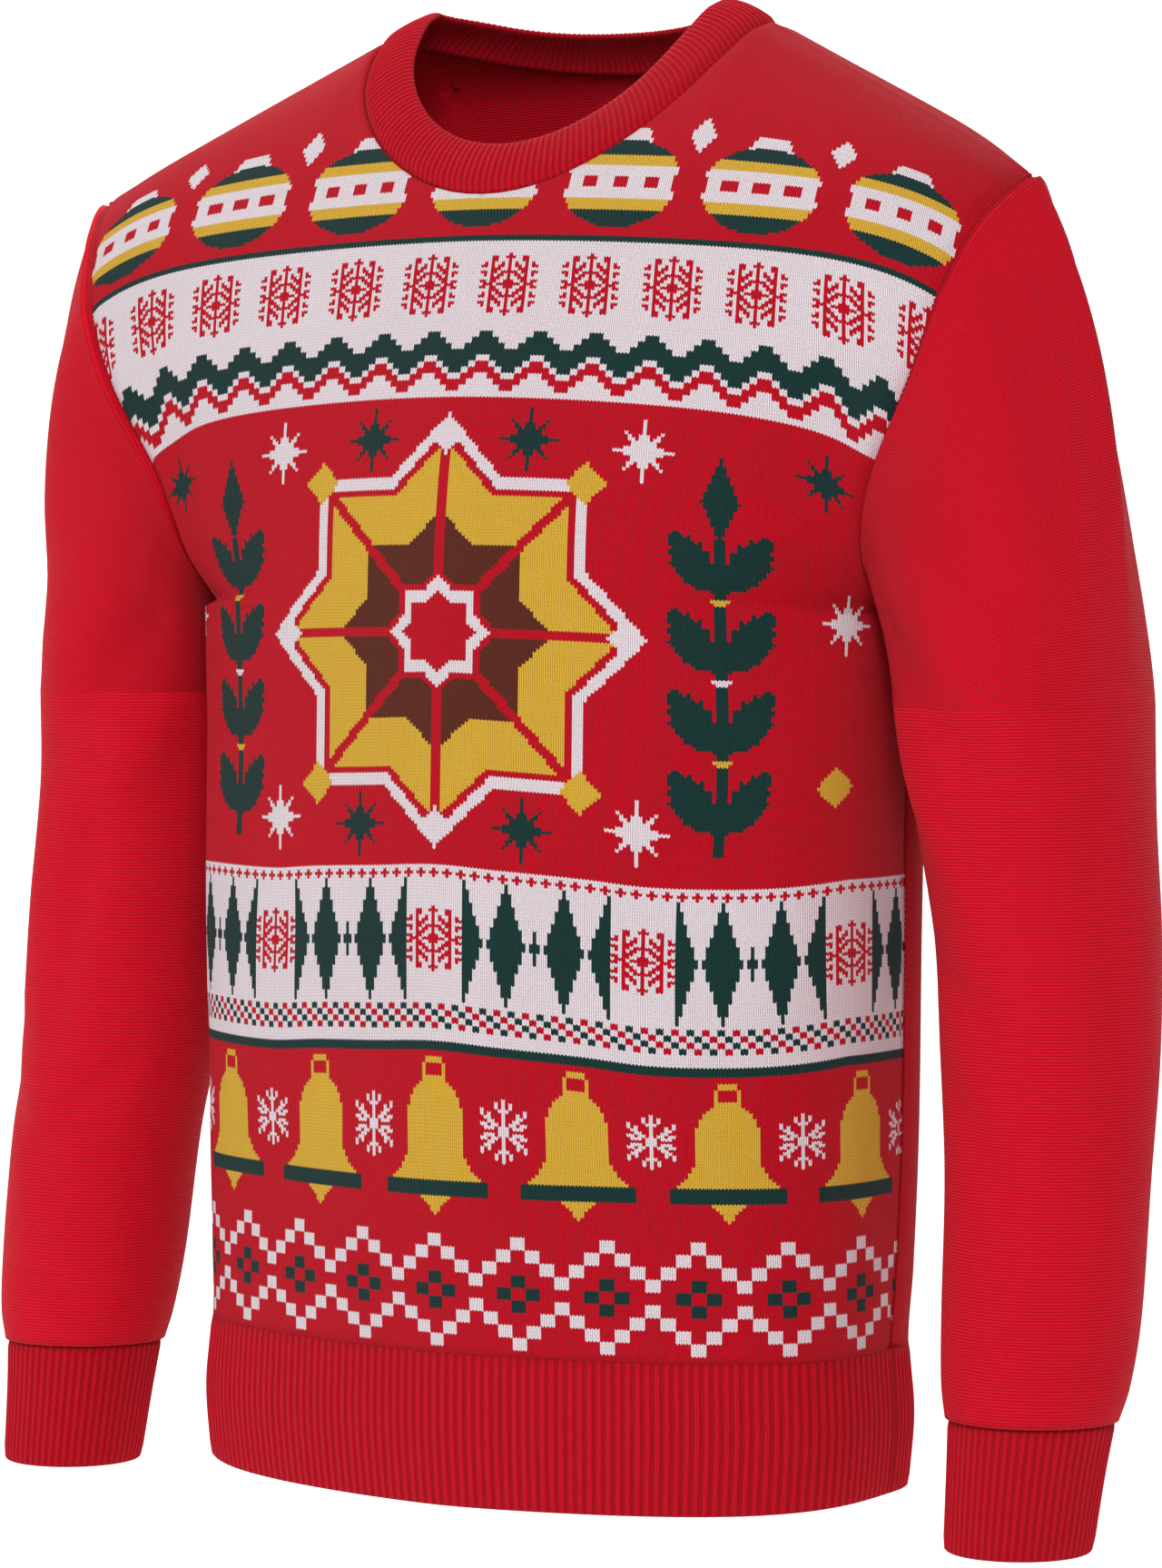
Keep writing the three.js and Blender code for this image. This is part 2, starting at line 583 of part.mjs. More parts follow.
// Rib relief at the i-th of two points a rib: out on the rib, level in the groove.
const ribOf = (i) => (i % 2 ? RIB_RELIEF : 0);

function makeCuff() {
  const levels = CUFF.map((row, k) => (k === 0 ? row.z - SEAM_GAP / 2 : row.z));
  const row = (z, count, lift) =>
    Array.from({ length: count }, (_, i) => {
      const turn = i / count;
      const angle = turn * 2 * Math.PI;
      return onSleeve(CUFF, z, turn).add(vec(Math.cos(angle), -Math.sin(angle), 0).multiplyScalar(lift(i)));
    });
  const outer = levels.map((z) => row(z, CUFF_RIBS * 2, ribOf));
  const inner = levels.map((z) => row(z, CUFF_RIBS / 2, () => -RIB_WALL));
  return bandOf(outer, inner, true);
}

function makeHem(side) {
  const levels = [PANEL_BOTTOM_Z - SEAM_GAP / 2, BODY[1].z, HEM_Z];
  const ends = -side.facing;
  const row = (z, count, lift) => {
    const steps = evenSteps(side, rowAt(side, { z }), ends, -ends, count - 1).map(({ point }) => point);
    return steps.map((point, i) => {
      const p = point.clone();
      const edge = i === 0 || i === count - 1;
      const run = steps[Math.min(i + 1, count - 1)].clone().sub(steps[Math.max(i - 1, 0)]);
      const out = edge ? vec(Math.sign(p.x), 0, 0) : vec(-run.y, run.x, 0).normalize();
      p.addScaledVector(out, lift(i));
      if (edge) p.y += (side.facing * SEAM_GAP) / 2;
      return p;
    });
  };
  const outer = levels.map((z) => row(z, HEM_RIBS * 2 + 1, ribOf));
  const inner = levels.map((z) => row(z, HEM_RIBS / 2 + 1, () => -RIB_WALL));
  return bandOf(outer, inner, false);
}

// The neck seam all round, from the left shoulder by way of the back: its points and the way into the neck.
function neckRing() {
  const edge = (panel, half) => {
    const rows = panel.ids.filter((_, r) => panel.rows[r].neckline);
    return rows.map((row) => ({ at: panel.surface.points[row[half][0]].clone(), normal: panel.normals[row[half][0]] }));
  };
  const back = [...edge(panels.back, "left").reverse(), ...edge(panels.back, "right").slice(1)];
  const front = [...edge(panels.front, "right").reverse(), ...edge(panels.front, "left").slice(1)];
  for (const end of [back[0], back[back.length - 1]]) end.at.y = SEAM_Y;
  return rimOf([...back, ...front.slice(1, -1)]);
}

function makeCollar() {
  const seam = neckRing();
  const run = [0];
  for (let i = 1; i <= seam.length; i++) {
    run.push(run[i - 1] + seam[i % seam.length].at.distanceTo(seam[i - 1].at));
  }
  // A place on the seam, on the straight line between two of its points.
  const onSeam = (share) => {
    const want = share * run[run.length - 1];
    const k = Math.max(0, run.findIndex((d) => d > want) - 1);
    const [a, b] = [seam[k], seam[(k + 1) % seam.length]];
    const s = (want - run[k]) / (run[k + 1] - run[k]);
    return {
      at: a.at.clone().lerp(b.at, s),
      normal: a.normal.clone().lerp(b.normal, s).normalize(),
      away: a.away.clone().lerp(b.away, s).normalize(),
    };
  };
  const point = (share, up, lift) => {
    const { at, normal, away } = onSeam(share);
    const base = at.clone().addScaledVector(away, SEAM_GAP + COLLAR_CLEAR);
    const angle = Math.atan2(at.y - NECK_MIDDLE_Y, at.x);
    const sideways = Math.cos(angle) ** 2;
    const lean = mix(angle < 0 ? COLLAR_LEAN.front : COLLAR_LEAN.back, COLLAR_LEAN.side, sideways);
    const inward = vec(-Math.cos(angle), -Math.sin(angle), 0);
    const rise = Math.sqrt(1 - lean * lean);
    const upward = inward.clone().multiplyScalar(lean).add(vec(0, 0, rise));
    const face = inward.clone().multiplyScalar(-rise).add(vec(0, 0, lean));
    const out = normal.clone().lerp(face, smooth(up * 3)).normalize();
    const crown = COLLAR_CROWN * 4 * up * (1 - up);
    return base.addScaledVector(upward, up * COLLAR_WIDTH).addScaledVector(out, crown + lift);
  };
  const row = (up, count, lift) => Array.from({ length: count }, (_, i) => point(i / count, up, lift(i)));
  const count = COLLAR_RIBS * 2;
  const outer = [0, 0.5, 1].map((up) => row(up, count, (i) => ribOf(i) * (up === 1 ? 0.4 : 1)));
  const inner = [0, 0.5, 0.97].map((up) => row(up, COLLAR_RIBS / 2, () => -RIB_WALL));
  return bandOf(outer, inner, true);
}

const pullover = new THREE.Group();
const cuff = makeCuff();
pullover.add(
  meshOf("front_panel", wallOf(panels.front.surface, CLOTH)),
  meshOf("back_panel", wallOf(panels.back.surface, CLOTH)),
  meshOf("left_sleeve", makeSleeve("left", LEFT_SLEEVE_CREASES)),
  meshOf("right_sleeve", makeSleeve("right", RIGHT_SLEEVE_CREASES)),
  meshOf("neck_rib", makeCollar()),
  meshOf("left_cuff", cuff),
  meshOf("right_cuff", mirrored(cuff)),
  meshOf("front_hem_rib", makeHem(SIDES.front)),
  meshOf("back_hem_rib", makeHem(SIDES.back)),
);

export default pullover;
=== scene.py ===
import math

import bpy
import numpy as np
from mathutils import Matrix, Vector


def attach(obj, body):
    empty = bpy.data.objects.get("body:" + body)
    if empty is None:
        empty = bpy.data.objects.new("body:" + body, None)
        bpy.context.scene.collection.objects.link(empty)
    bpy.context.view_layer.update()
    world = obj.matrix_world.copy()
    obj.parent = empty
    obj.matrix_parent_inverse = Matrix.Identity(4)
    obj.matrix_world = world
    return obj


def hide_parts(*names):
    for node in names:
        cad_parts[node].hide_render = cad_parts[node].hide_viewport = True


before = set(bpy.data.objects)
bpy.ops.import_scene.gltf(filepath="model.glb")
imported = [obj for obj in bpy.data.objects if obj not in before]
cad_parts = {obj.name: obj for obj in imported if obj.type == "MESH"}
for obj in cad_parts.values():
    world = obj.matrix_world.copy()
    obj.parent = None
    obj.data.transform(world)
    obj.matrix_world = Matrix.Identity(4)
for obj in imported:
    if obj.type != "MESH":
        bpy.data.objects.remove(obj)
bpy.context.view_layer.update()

# Cloth and stitches
CLOTH = 2.0
RIB_WALL = 2.2
RIB_RELIEF = 0.8
SEAM_GAP = 0.1
SEAM_DIP = 1.3
SEAM_DIP_WIDTH = 7.0
STITCH_WIDE = 1.65
STITCH_HIGH = 1.36

# Heights and widths of the pullover
ARMPIT_Z = -262.0
PANEL_BOTTOM_Z = -581.0
HEM_Z = -643.0
NECK_HALF = 98.0
SHOULDER_HALF = 238.0
SHOULDER_DROP = 72.0
SEAM_Y = -5.0
SHOULDER_FORWARD = 32.0
NECK_MIDDLE_Y = -9.0


def table(names, *rows):
    return {name: np.array(column, dtype=float) for name, column in zip(names.split(), zip(*rows))}


BODY = table(
    "z half seam front back sag",
    (-643, 164.5, -19, -124, 57, -4),
    (-612, 166.5, -18, -127, 60, -2.2),
    (-581, 164, -16, -127, 57, 0),
    (-550, 165, -13, -129, 60, 0),
    (-490, 166.5, -10, -131, 62, 0),
    (-400, 167, -8, -132, 64, 0),
    (-330, 168, -8, -130, 70, 2),
    (-262, 172, -8, -128, 78, 8),
)
FRONT_YOKE = table(
    "up y z edge_x edge_y edge_z corner bulge",
    (0, -128, -254, 172, -8, -262, 1, 0.31),
    (0.04, -127.6, -243, 173.5, -36, -254, 0.985, 0.415),
    (0.095, -126.4, -226, 174.5, -59, -240, 0.97, 0.545),
    (0.185, -122.8, -199, 178, -70, -221, 0.95, 0.615),
    (0.285, -116.6, -169.5, 185, -75, -198, 0.93, 0.63),
    (0.41, -106.6, -133, 204, -81, -160, 0.92, 0.72),
    (0.54, -97, -96, 217, -79, -124, 0.9, 0.8),
    (0.66, -82, -62, 226, -64, -96, 0.9, 0.8),
    (0.8, -55, -29, 233, -48, -81, 0.9, 0.8),
    (0.92, -24, -6, 236.5, -38, -74.5, 0.9, 0.8),
    (1, -5, 0, 238, -32, -72, 0.9, 0.8),
)
BACK_YOKE = table(
    "up y z edge_x edge_y edge_z corner bulge",
    (0, 78, -254, 172, -8, -262, 1, 0),
    (0.05, 79.5, -240, 174.5, 14, -252, 0.98, 0.1),
    (0.135, 82, -214, 178.5, 31, -232, 0.95, 0.25),
    (0.25, 85, -178, 186, 41, -203, 0.92, 0.4),
    (0.38, 86.5, -137, 198, 43, -166, 0.9, 0.5),
    (0.51, 84, -96, 210, 37, -131, 0.9, 0.6),
    (0.64, 77, -58, 221, 22, -102, 0.9, 0.6),
    (0.76, 66, -22, 230, -1, -84, 0.9, 0.6),
    (0.875, 34, -5, 235.5, -20, -75, 0.9, 0.6),
    (1, -5, 0, 238, -32, -72, 0.9, 0.6),
)
SLEEVE = table(
    "z x y across deep",
    (-300, 223.5, -6.5, 49.5, 70),
    (-350, 229.2, -8, 47.6, 58.5),
    (-400, 235.8, -10.5, 46, 51),
    (-450, 239.5, -16.2, 45, 46),
    (-500, 243, -25.8, 42, 43),
    (-560, 244.4, -35.4, 40.5, 41),
    (-588, 244.4, -41, 38, 38.6),
    (-601, 244, -43.6, 35, 35.6),
)
CUFF = table(
    "z x y across deep",
    (-601, 244, -43.6, 35, 35.6),
    (-625, 243.4, -48.8, 32.9, 33.5),
    (-655, 243, -55, 31, 31.6),
)

# How the sleeves leave the armholes
CAP_REACH = 0.95
PIT_REACH = 0.5
ARM_REACH = 0.55
CAP_LIFT = 0.75
PIT_LIFT = 0.3
FOLD = 0.7

# The neck rib, and the number of ribs on each band
COLLAR_WIDTH = 26.0
COLLAR_LEAN = {"front": 0.5, "side": 0.91, "back": 0.8}
COLLAR_CROWN = 2.2
HEM_RIBS = 106
CUFF_RIBS = 60
COLLAR_RIBS = 176

# Creases: from (across, height), to (across, height), width, rise. Across is millimetres on a panel and
# degrees round a sleeve, with 0 outside, 90 in front and 180 inside.
FRONT_CREASES = [
    ((168, -215), (120, -330), 20, -5.5),
    ((178, -262), (150, -420), 17, 4.5),
    ((-168, -215), (-126, -320), 20, -5),
    ((-176, -262), (-152, -430), 17, 4),
    ((186, -140), (152, -205), 15, -4),
    ((-188, -145), (-156, -200), 15, -4),
    ((60, -500), (130, -560), 26, -2.5),
    ((-70, -470), (-130, -545), 26, -2.5),
    ((150, -300), (96, -390), 16, -2.2),
    ((-150, -310), (-90, -400), 16, -2.2),
    ((40, -120), (110, -150), 24, -1.6),
]
BACK_CREASES = [
    ((160, -220), (105, -330), 22, -5),
    ((-160, -220), (-98, -340), 22, -5),
    ((-60, -430), (70, -455), 24, -4),
    ((-80, -500), (50, -520), 22, -3.5),
    ((30, -385), (130, -400), 20, -3),
    ((-150, -150), (-60, -190), 26, -3),
    ((150, -155), (66, -190), 26, -3),
    ((-120, -460), (-20, -490), 16, 2.5),
]
LEFT_SLEEVE_CREASES = [
    ((150, -250), (72, -340), 13, -5),
    ((158, -285), (95, -390), 12, 4),
    ((118, -200), (52, -270), 14, -3.5),
    ((165, -400), (95, -430), 11, -3.5),
    ((215, -265), (285, -345), 14, -4.5),
    ((200, -385), (262, -420), 11, -3.5),
    ((40, -300), (28, -460), 14, -2),
    ((60, -560), (130, -578), 9, -2.5),
    ((230, -566), (300, -580), 9, -2.5),
    ((135, -455), (85, -500), 10, -2.2),
    ((20, -575), (100, -588), 7, -1.8),
]
RIGHT_SLEEVE_CREASES = [
    ((150, -245), (66, -330), 13, -5),
    ((160, -290), (84, -360), 12, 4),
    ((112, -190), (48, -255), 15, -3.5),
    ((100, -330), (80, -450), 12, -4),
    ((60, -340), (45, -440), 11, 3),
    ((215, -260), (285, -340), 14, -4.5),
    ((205, -400), (268, -430), 11, -3.5),
    ((50, -566), (120, -580), 9, -2.5),
    ((235, -560), (305, -576), 9, -2.5),
    ((130, -470), (80, -510), 10, -2.4),
    ((30, -480), (95, -530), 11, -2.0),
]
CREASE_FADE = 22.0

SIDES = {
    "front": {
        "facing": -1,
        "power": 4,
        "bulge": 0.31,
        "neck_up": 0.603,
        "yoke": FRONT_YOKE,
        "creases": FRONT_CREASES,
    },
    "back": {
        "facing": 1,
        "power": 2.4,
        "bulge": 0.0,
        "neck_up": 0.8,
        "yoke": BACK_YOKE,
        "creases": BACK_CREASES,
    },
}

# How finely each piece is divided
PANEL_COLUMNS = 62
BODY_ROWS = 84
YOKE_ROWS = 54
NECK_ROWS = 26
SLEEVE_COLUMNS = 128
CAP_RINGS = 34
ARM_RINGS = 78


def smooth(s):
    c = np.clip(s, 0.0, 1.0)
    return c * c * (3 - 2 * c)


def mix(a, b, s):
    return a + (b - a) * s


def unit(v):
    return v / np.maximum(np.linalg.norm(v, axis=-1, keepdims=True), 1e-9)


def along(rows, by, at, column):
    """A smooth curve through a table: one column's value where another has a given value."""
    x, y = rows[by], rows[column]
    if x[0] > x[-1]:
        x, y = x[::-1], y[::-1]
    before = np.maximum(np.arange(len(x)) - 1, 0)
    after = np.minimum(np.arange(len(x)) + 1, len(x) - 1)
    slope = (y[after] - y[before]) / (x[after] - x[before])
    i = np.clip(np.searchsorted(x, at, side="right") - 1, 0, len(x) - 2)
    span = x[i + 1] - x[i]
    s = np.clip((at - x[i]) / span, 0, 1)
    s2, s3 = s * s, s * s * s
    start = (2 * s3 - 3 * s2 + 1) * y[i] + (s3 - 2 * s2 + s) * span * slope[i]
    return start + (3 * s2 - 2 * s3) * y[i + 1] + (s3 - s2) * span * slope[i + 1]


def crease_lift(creases, a, b, scale=1.0):
    """How far the creases lift points of a surface."""
    lift = np.zeros_like(a)
    for start, end, width, height in creases:
        px, pz = (a - start[0]) * scale, b - start[1]
        dx, dz = (end[0] - start[0]) * scale, end[1] - start[1]
        s = np.clip((px * dx + pz * dz) / (dx * dx + dz * dz), 0, 1)
        off = np.hypot(px - s * dx, pz - s * dz)
        lift += height * np.exp(-((off / width) ** 2)) * (0.55 + 0.45 * np.sin(np.pi * s))
    return lift


# Panels
def row_at(side, z=None, up=None):
    """One row of knitting of a panel: below the armpits at a height, above them by its share of the yoke."""
    if up is None:
        edge = np.array([along(BODY, "z", z, "half"), along(BODY, "z", z, "seam"), z])
        middle = "front" if side["facing"] < 0 else "back"
        centre = (along(BODY, "z", z, middle), z + along(BODY, "z", z, "sag"))
        return {
            "up": -1.0,
            "edge": edge,
            "centre": centre,
            "corner": 1.0,
            "bulge": side["bulge"],
            "crest": 0.0,
        }
    get = lambda column: along(side["yoke"], "up", up, column)
    edge = np.array([get("edge_x"), get("edge_y"), get("edge_z")])
    crest = float(smooth((up - 0.6) / 0.4))
    return {
        "up": up,
        "edge": edge,
        "centre": (get("y"), get("z")),
        "corner": get("corner"),
        "bulge": get("bulge"),
        "crest": crest,
    }


def on_row(side, row, share):
    """Points of a row, by their share of its half width."""
    out = np.abs(share)
    turn = lambda c: 1 - np.maximum(0, 1 - c ** side["power"]) ** (1 / side["power"])
    rounded = mix(turn(row["corner"] * out) / turn(row["corner"]), out**1.5, row["bulge"])
    sagged = 0.5 * out**1.8 + 0.5 * out**8
    neck = NECK_HALF / row["edge"][0]
    seam = np.maximum(0, (out - neck) / (1 - neck))
    y = mix(row["centre"][0], row["edge"][1], mix(rounded, seam, row["crest"]))
    z = mix(row["centre"][1], row["edge"][2], mix(sagged, seam, row["crest"]))
    return np.stack([row["edge"][0] * share, y, z], -1)


def panel_rows(side):
    heights = np.linspace(PANEL_BOTTOM_Z + SEAM_GAP / 2, ARMPIT_Z, BODY_ROWS + 1)
    rows = [row_at(side, z=z) for z in heights[:-1]]
    rows += [row_at(side, up=up) for up in np.linspace(0, side["neck_up"], YOKE_ROWS + 1)[:-1]]
    for row in rows:
        row["neck"] = 0.0
    for k in range(NECK_ROWS + 1):
        fall = math.cos(k / NECK_ROWS * math.pi / 2) ** 2
        row = row_at(side, up=1 - (1 - side["neck_up"]) * fall)
        row["neck"] = NECK_HALF * math.sqrt(1 - fall * fall)
        rows.append(row)
    return rows


def make_grid(side):
    """Both halves of a panel as grids of points, with the distance across and the height along the cloth."""
    rows = panel_rows(side)
    fine = np.sin(np.linspace(0, 1, 600) * np.pi / 2)
    edge_steps = np.array([0.0, 1.2, 2.4, 3.8, 5.4, 7.2, 9.4])[::-1]
    height, before = 0.0, None
    halves = {1: [], -1: []}
    across, heights, off_edge = [], [], []
    for row in rows:
        centre = np.array(row["centre"])
        height += 0 if before is None else float(np.hypot(*(centre - before)))
        before = centre
        points = on_row(side, row, fine)
        run = np.insert(np.cumsum(np.linalg.norm(np.diff(points, axis=0), axis=1)), 0, 0)
        start = np.interp(row["neck"], points[:, 0], run)
        inner = np.linspace(start, run[-1] - 11.5, PANEL_COLUMNS + 1 - len(edge_steps))
        want = np.concatenate([inner, run[-1] - edge_steps])
        share = np.interp(want, run, fine)
        place = on_row(side, row, share)
        for sign in (1, -1):
            half = place * [sign, 1, 1]
            to_edge = np.minimum((1 - share) * row["edge"][0] * 1.4, half[:, 2] - PANEL_BOTTOM_Z)
            if row["up"] >= 0:
                to_edge = np.minimum(to_edge, (1 - row["up"]) * 300)
            if row["up"] >= side["neck_up"] - 0.1:
                to_edge = np.minimum(to_edge, np.abs(half[:, 0]) - row["neck"] + 6)
            lift = crease_lift(side["creases"], half[:, 0], half[:, 2]) * smooth(to_edge / CREASE_FADE)
            half[:, 1] += side["facing"] * lift
            halves[sign].append(half)
        across.append(want)
        heights.append(height)
        off_edge.append(run[-1] - want)
    grids = {sign: np.array(half) for sign, half in halves.items()}
    return {
        "rows": rows,
        "grids": grids,
        "across": np.array(across),
        "height": np.array(heights),
        "off": np.array(off_edge),
    }


def surface_of(panel, side):
    """The panel's points, quads and stitch coordinates, with its two halves joined below the neckline."""
    count = PANEL_COLUMNS + 1
    rows = len(panel["rows"])
    left = np.arange(rows * count).reshape(rows, count)
    right = left + rows * count
    slit = np.array([row["neck"] > 0 for row in panel["rows"]])
    right[~slit, 0] = left[~slit, 0]
    points = np.concatenate([panel["grids"][1].reshape(-1, 3), panel["grids"][-1].reshape(-1, 3)])
    heights = np.repeat(panel["height"][:, None], count, 1)
    stitch = np.concatenate(
        [
            np.stack([panel["across"], heights], -1).reshape(-1, 2),
            np.stack([-panel["across"], heights], -1).reshape(-1, 2),
        ]
    )
    quads = []
    for ids, sign in ((left, 1), (right, -1)):
        quad = np.stack([ids[:-1, :-1], ids[:-1, 1:], ids[1:, 1:], ids[1:, :-1]], -1).reshape(-1, 4)
        quads.append(quad if sign * side["facing"] < 0 else quad[:, ::-1])
    return points, np.concatenate(quads), stitch, left, right


def normals_of(points, quads):
    a, b, c, d = (points[quads[:, k]] for k in range(4))
    face = np.cross(c - a, d - b)
    sums = np.zeros_like(points)
    for k in range(4):
        np.add.at(sums, quads[:, k], face)
    return unit(sums)


def build_panel(name):
    side = SIDES[name]
    panel = make_grid(side)
    points, quads, stitch, left, right = surface_of(panel, side)
    normals = normals_of(points, quads)
    shoulder = unit(np.array([SHOULDER_HALF - NECK_HALF, -SHOULDER_FORWARD - SEAM_Y, -SHOULDER_DROP]))
    up = np.array([0, 0, 1.0])
    for ids, sign in ((left, 1), (right, -1)):
        tangent = shoulder * [sign, 1, 1]
        normals[ids[-1]] = unit(up - tangent * tangent[2])
        for r, row in enumerate(panel["rows"]):
            if row["up"] <= 0:
                normals[ids[r, -1]] = (sign, 0, 0)
    panel.update(points=points, quads=quads, stitch=stitch, normals=normals)
    panel.update(left=left, right=right, name=name)
    return panel


panels = {name: build_panel(name) for name in SIDES}


# How far the front's rows of stitches are lifted, by the distance across from its centre line.
ROW_LIFT = table(
    "across lift",
    (-148, 0.8),
    (-98, 0.8),
    (-67, -1.5),
    (-33, -3.1),
    (0, -4.6),
    (30, -2.6),
    (69, 0.3),
    (98, 3.5),
    (131, 4.2),
    (159, 3.3),
    (189, 0.7),
)


def finish_panel(panel):
    """Lets the cloth dip into its seams, and bows the front pattern's rows as the worn cloth pulls them."""
    points = panel["points"].copy()
    off = np.concatenate([panel["off"].reshape(-1), panel["off"].reshape(-1)])
    dip = SEAM_DIP * (1 - smooth(off / SEAM_DIP_WIDTH))
    points -= panel["normals"] * dip[:, None]
    facing = SIDES[panel["name"]]["facing"]
    last = np.concatenate([panel["left"][-1], panel["right"][-1]])
    points[last, 1] += facing * SEAM_GAP / 2
    stitch = panel["stitch"].copy()
    if panel["name"] == "front":
        up = stitch[:, 1].copy()
        lift = along(ROW_LIFT, "across", stitch[:, 0], "lift")
        stitch[:, 1] += lift * smooth((up - 76) / 45) * (1 - smooth((up - 215) / 150))
    return points, stitch


def metres(points):
    return (np.asarray(points) / 1000).tolist()


def make_mesh(name, points, faces, corner_uv, materials, indices):
    """A closed mesh, turned to face out, with its stitch coordinates as a UV map."""
    points = np.asarray(points)
    quads = np.asarray(faces)
    a, b, c, d = (points[quads[:, k]] for k in range(4))
    volume = np.einsum("ij,ij->i", a, np.cross(b, c)).sum() + np.einsum("ij,ij->i", a, np.cross(c, d)).sum()
    if volume < 0:
        quads = quads[:, ::-1]
        corner_uv = corner_uv[:, ::-1]
    mesh = bpy.data.meshes.new(name)
    mesh.from_pydata(metres(points), [], quads.tolist())
    layer = mesh.uv_layers.new(name="stitches")
    layer.data.foreach_set("uv", np.asarray(corner_uv, dtype=np.float32).reshape(-1))
    for material in materials:
        mesh.materials.append(material)
    mesh.polygons.foreach_set("material_index", np.asarray(indices, dtype=np.int32))
    mesh.polygons.foreach_set("use_smooth", np.ones(len(quads), dtype=bool))
    mesh.update()
    piece = bpy.data.objects.new(name, mesh)
    bpy.context.scene.collection.objects.link(piece)
    return piece


def knit_shell(name, points, quads, corner_uv, normals, materials):
    """A thin wall of knitting: the outer face, the inner face and the edges between them."""
    count = len(points)
    inner = points - normals * CLOTH
    edges = {}
    for quad, uv in zip(quads.tolist(), corner_uv.tolist()):
        for k in range(4):
            a, b = quad[k], quad[(k + 1) % 4]
            edges[(a, b)] = (uv[k], uv[(k + 1) % 4])
    rim = [(key, uv) for key, uv in edges.items() if (key[1], key[0]) not in edges and key[0] != key[1]]
    rim_quads = np.array([[b, a, a + count, b + count] for (a, b), _ in rim])
    rim_uv = np.array([[ub, ua, ua, ub] for _, (ua, ub) in rim])
    faces = np.concatenate([quads, quads[:, ::-1] + count, rim_quads])
    uvs = np.concatenate([corner_uv, corner_uv[:, ::-1], rim_uv])
    indices = [0] * len(quads) + [1] * len(quads) + [0] * len(rim_quads)
    return make_mesh(name, np.concatenate([points, inner]), faces, uvs, materials, indices)


# Sleeves
def resample(points, normals, count):
    """Even steps along a seam, from its first point to its last."""
    run = np.insert(np.cumsum(np.linalg.norm(np.diff(points, axis=0), axis=1)), 0, 0)
    want = np.linspace(0, run[-1], count)
    at = np.stack([np.interp(want, run, points[:, k]) for k in range(3)], -1)
    way = unit(np.stack([np.interp(want, run, normals[:, k]) for k in range(3)], -1))
    return at, way


def rim_ways(at, normal):
    """At each point of a closed seam, the way along it and the way off the cloth."""
    run = np.roll(at, -1, 0) - np.roll(at, 1, 0)
    run = unit(run - normal * np.sum(run * normal, -1, keepdims=True))
    return run, np.cross(normal, run)


def armhole_ring(half):
    """One armhole as if it were the left one: down its front edge to the armpit, and up its back edge."""
    sign = 1 if half == "left" else -1
    edges = {}
    for name, panel in panels.items():
        ids = panel[half][[row["up"] >= 0 for row in panel["rows"]], -1]
        edges[name] = (panel["points"][ids] * [sign, 1, 1], panel["normals"][ids] * [sign, 1, 1])
    tip = (edges["front"][0][-1] + edges["back"][0][-1]) / 2
    pit = (edges["front"][0][0] + edges["back"][0][0]) / 2
    tip_normal = unit(edges["front"][1][-1] + edges["back"][1][-1])
    pit_normal = unit(edges["front"][1][0] + edges["back"][1][0])
    rings = []
    steps = SLEEVE_COLUMNS // 2 + 1
    for name in ("front", "back"):
        at, normal = edges[name][0].copy(), edges[name][1].copy()
        at[0], at[-1] = pit, tip
        normal[0], normal[-1] = pit_normal, tip_normal
        if name == "front":
            at, normal = at[::-1], normal[::-1]
        rings.append(resample(at, normal, steps))
    at = np.concatenate([rings[0][0][:-1], rings[1][0][:-1]])
    normal = np.concatenate([rings[0][1][:-1], rings[1][1][:-1]])
    return at, normal


def on_sleeve(rows, z, turn):
    angle = turn * 2 * np.pi
    get = lambda column: along(rows, "z", z, column)
    x = get("x") + get("across") * np.cos(angle)
    y = get("y") - get("deep") * np.sin(angle)
    return np.stack([x, y, np.full_like(x, z)], -1)


def sleeve_levels(half):
    """The sleeve's rings from the armhole to the cuff, before its creases."""
    at, normal = armhole_ring(half)
    run, away = rim_ways(at, normal)
    turns = np.arange(SLEEVE_COLUMNS) / SLEEVE_COLUMNS
    under = 0.5 - 0.5 * np.cos(turns * 2 * np.pi)
    top, bottom = SLEEVE["z"][0], SLEEVE["z"][-1] + SEAM_GAP / 2
    zero = np.zeros(1)
    down = unit(on_sleeve(SLEEVE, -320.0, zero) - on_sleeve(SLEEVE, top, zero))[0]
    ends = on_sleeve(SLEEVE, top, turns)
    starts = at + away * SEAM_GAP
    way = unit(ends - starts)
    way = way + away * (CAP_LIFT * (1 - under) ** 2)[:, None] + normal * (PIT_LIFT * under**2)[:, None]
    leaves = unit(way - run * np.sum(way * run, -1, keepdims=True))
    folds = starts + leaves * FOLD
    length = np.linalg.norm(ends - folds, axis=1)[:, None]
    reach = mix(CAP_REACH, PIT_REACH, under)[:, None]
    levels = [starts]
    for s in np.linspace(0, 1, CAP_RINGS + 1) ** 1.25:
        s2, s3 = s * s, s * s * s
        levels.append(
            folds * (2 * s3 - 3 * s2 + 1)
            + leaves * (s3 - 2 * s2 + s) * length * reach
            + ends * (3 * s2 - 2 * s3)
            + down * (s3 - s2) * length * ARM_REACH
        )
    levels += [on_sleeve(SLEEVE, z, turns) for z in np.linspace(top, bottom, ARM_RINGS + 1)[1:]]
    fold = np.arctan2(np.sum(leaves * normal, -1), np.sum(leaves * away, -1)) / 2
    halfway = normal * np.cos(fold)[:, None] - away * np.sin(fold)[:, None]
    return np.array(levels), turns, normal, halfway


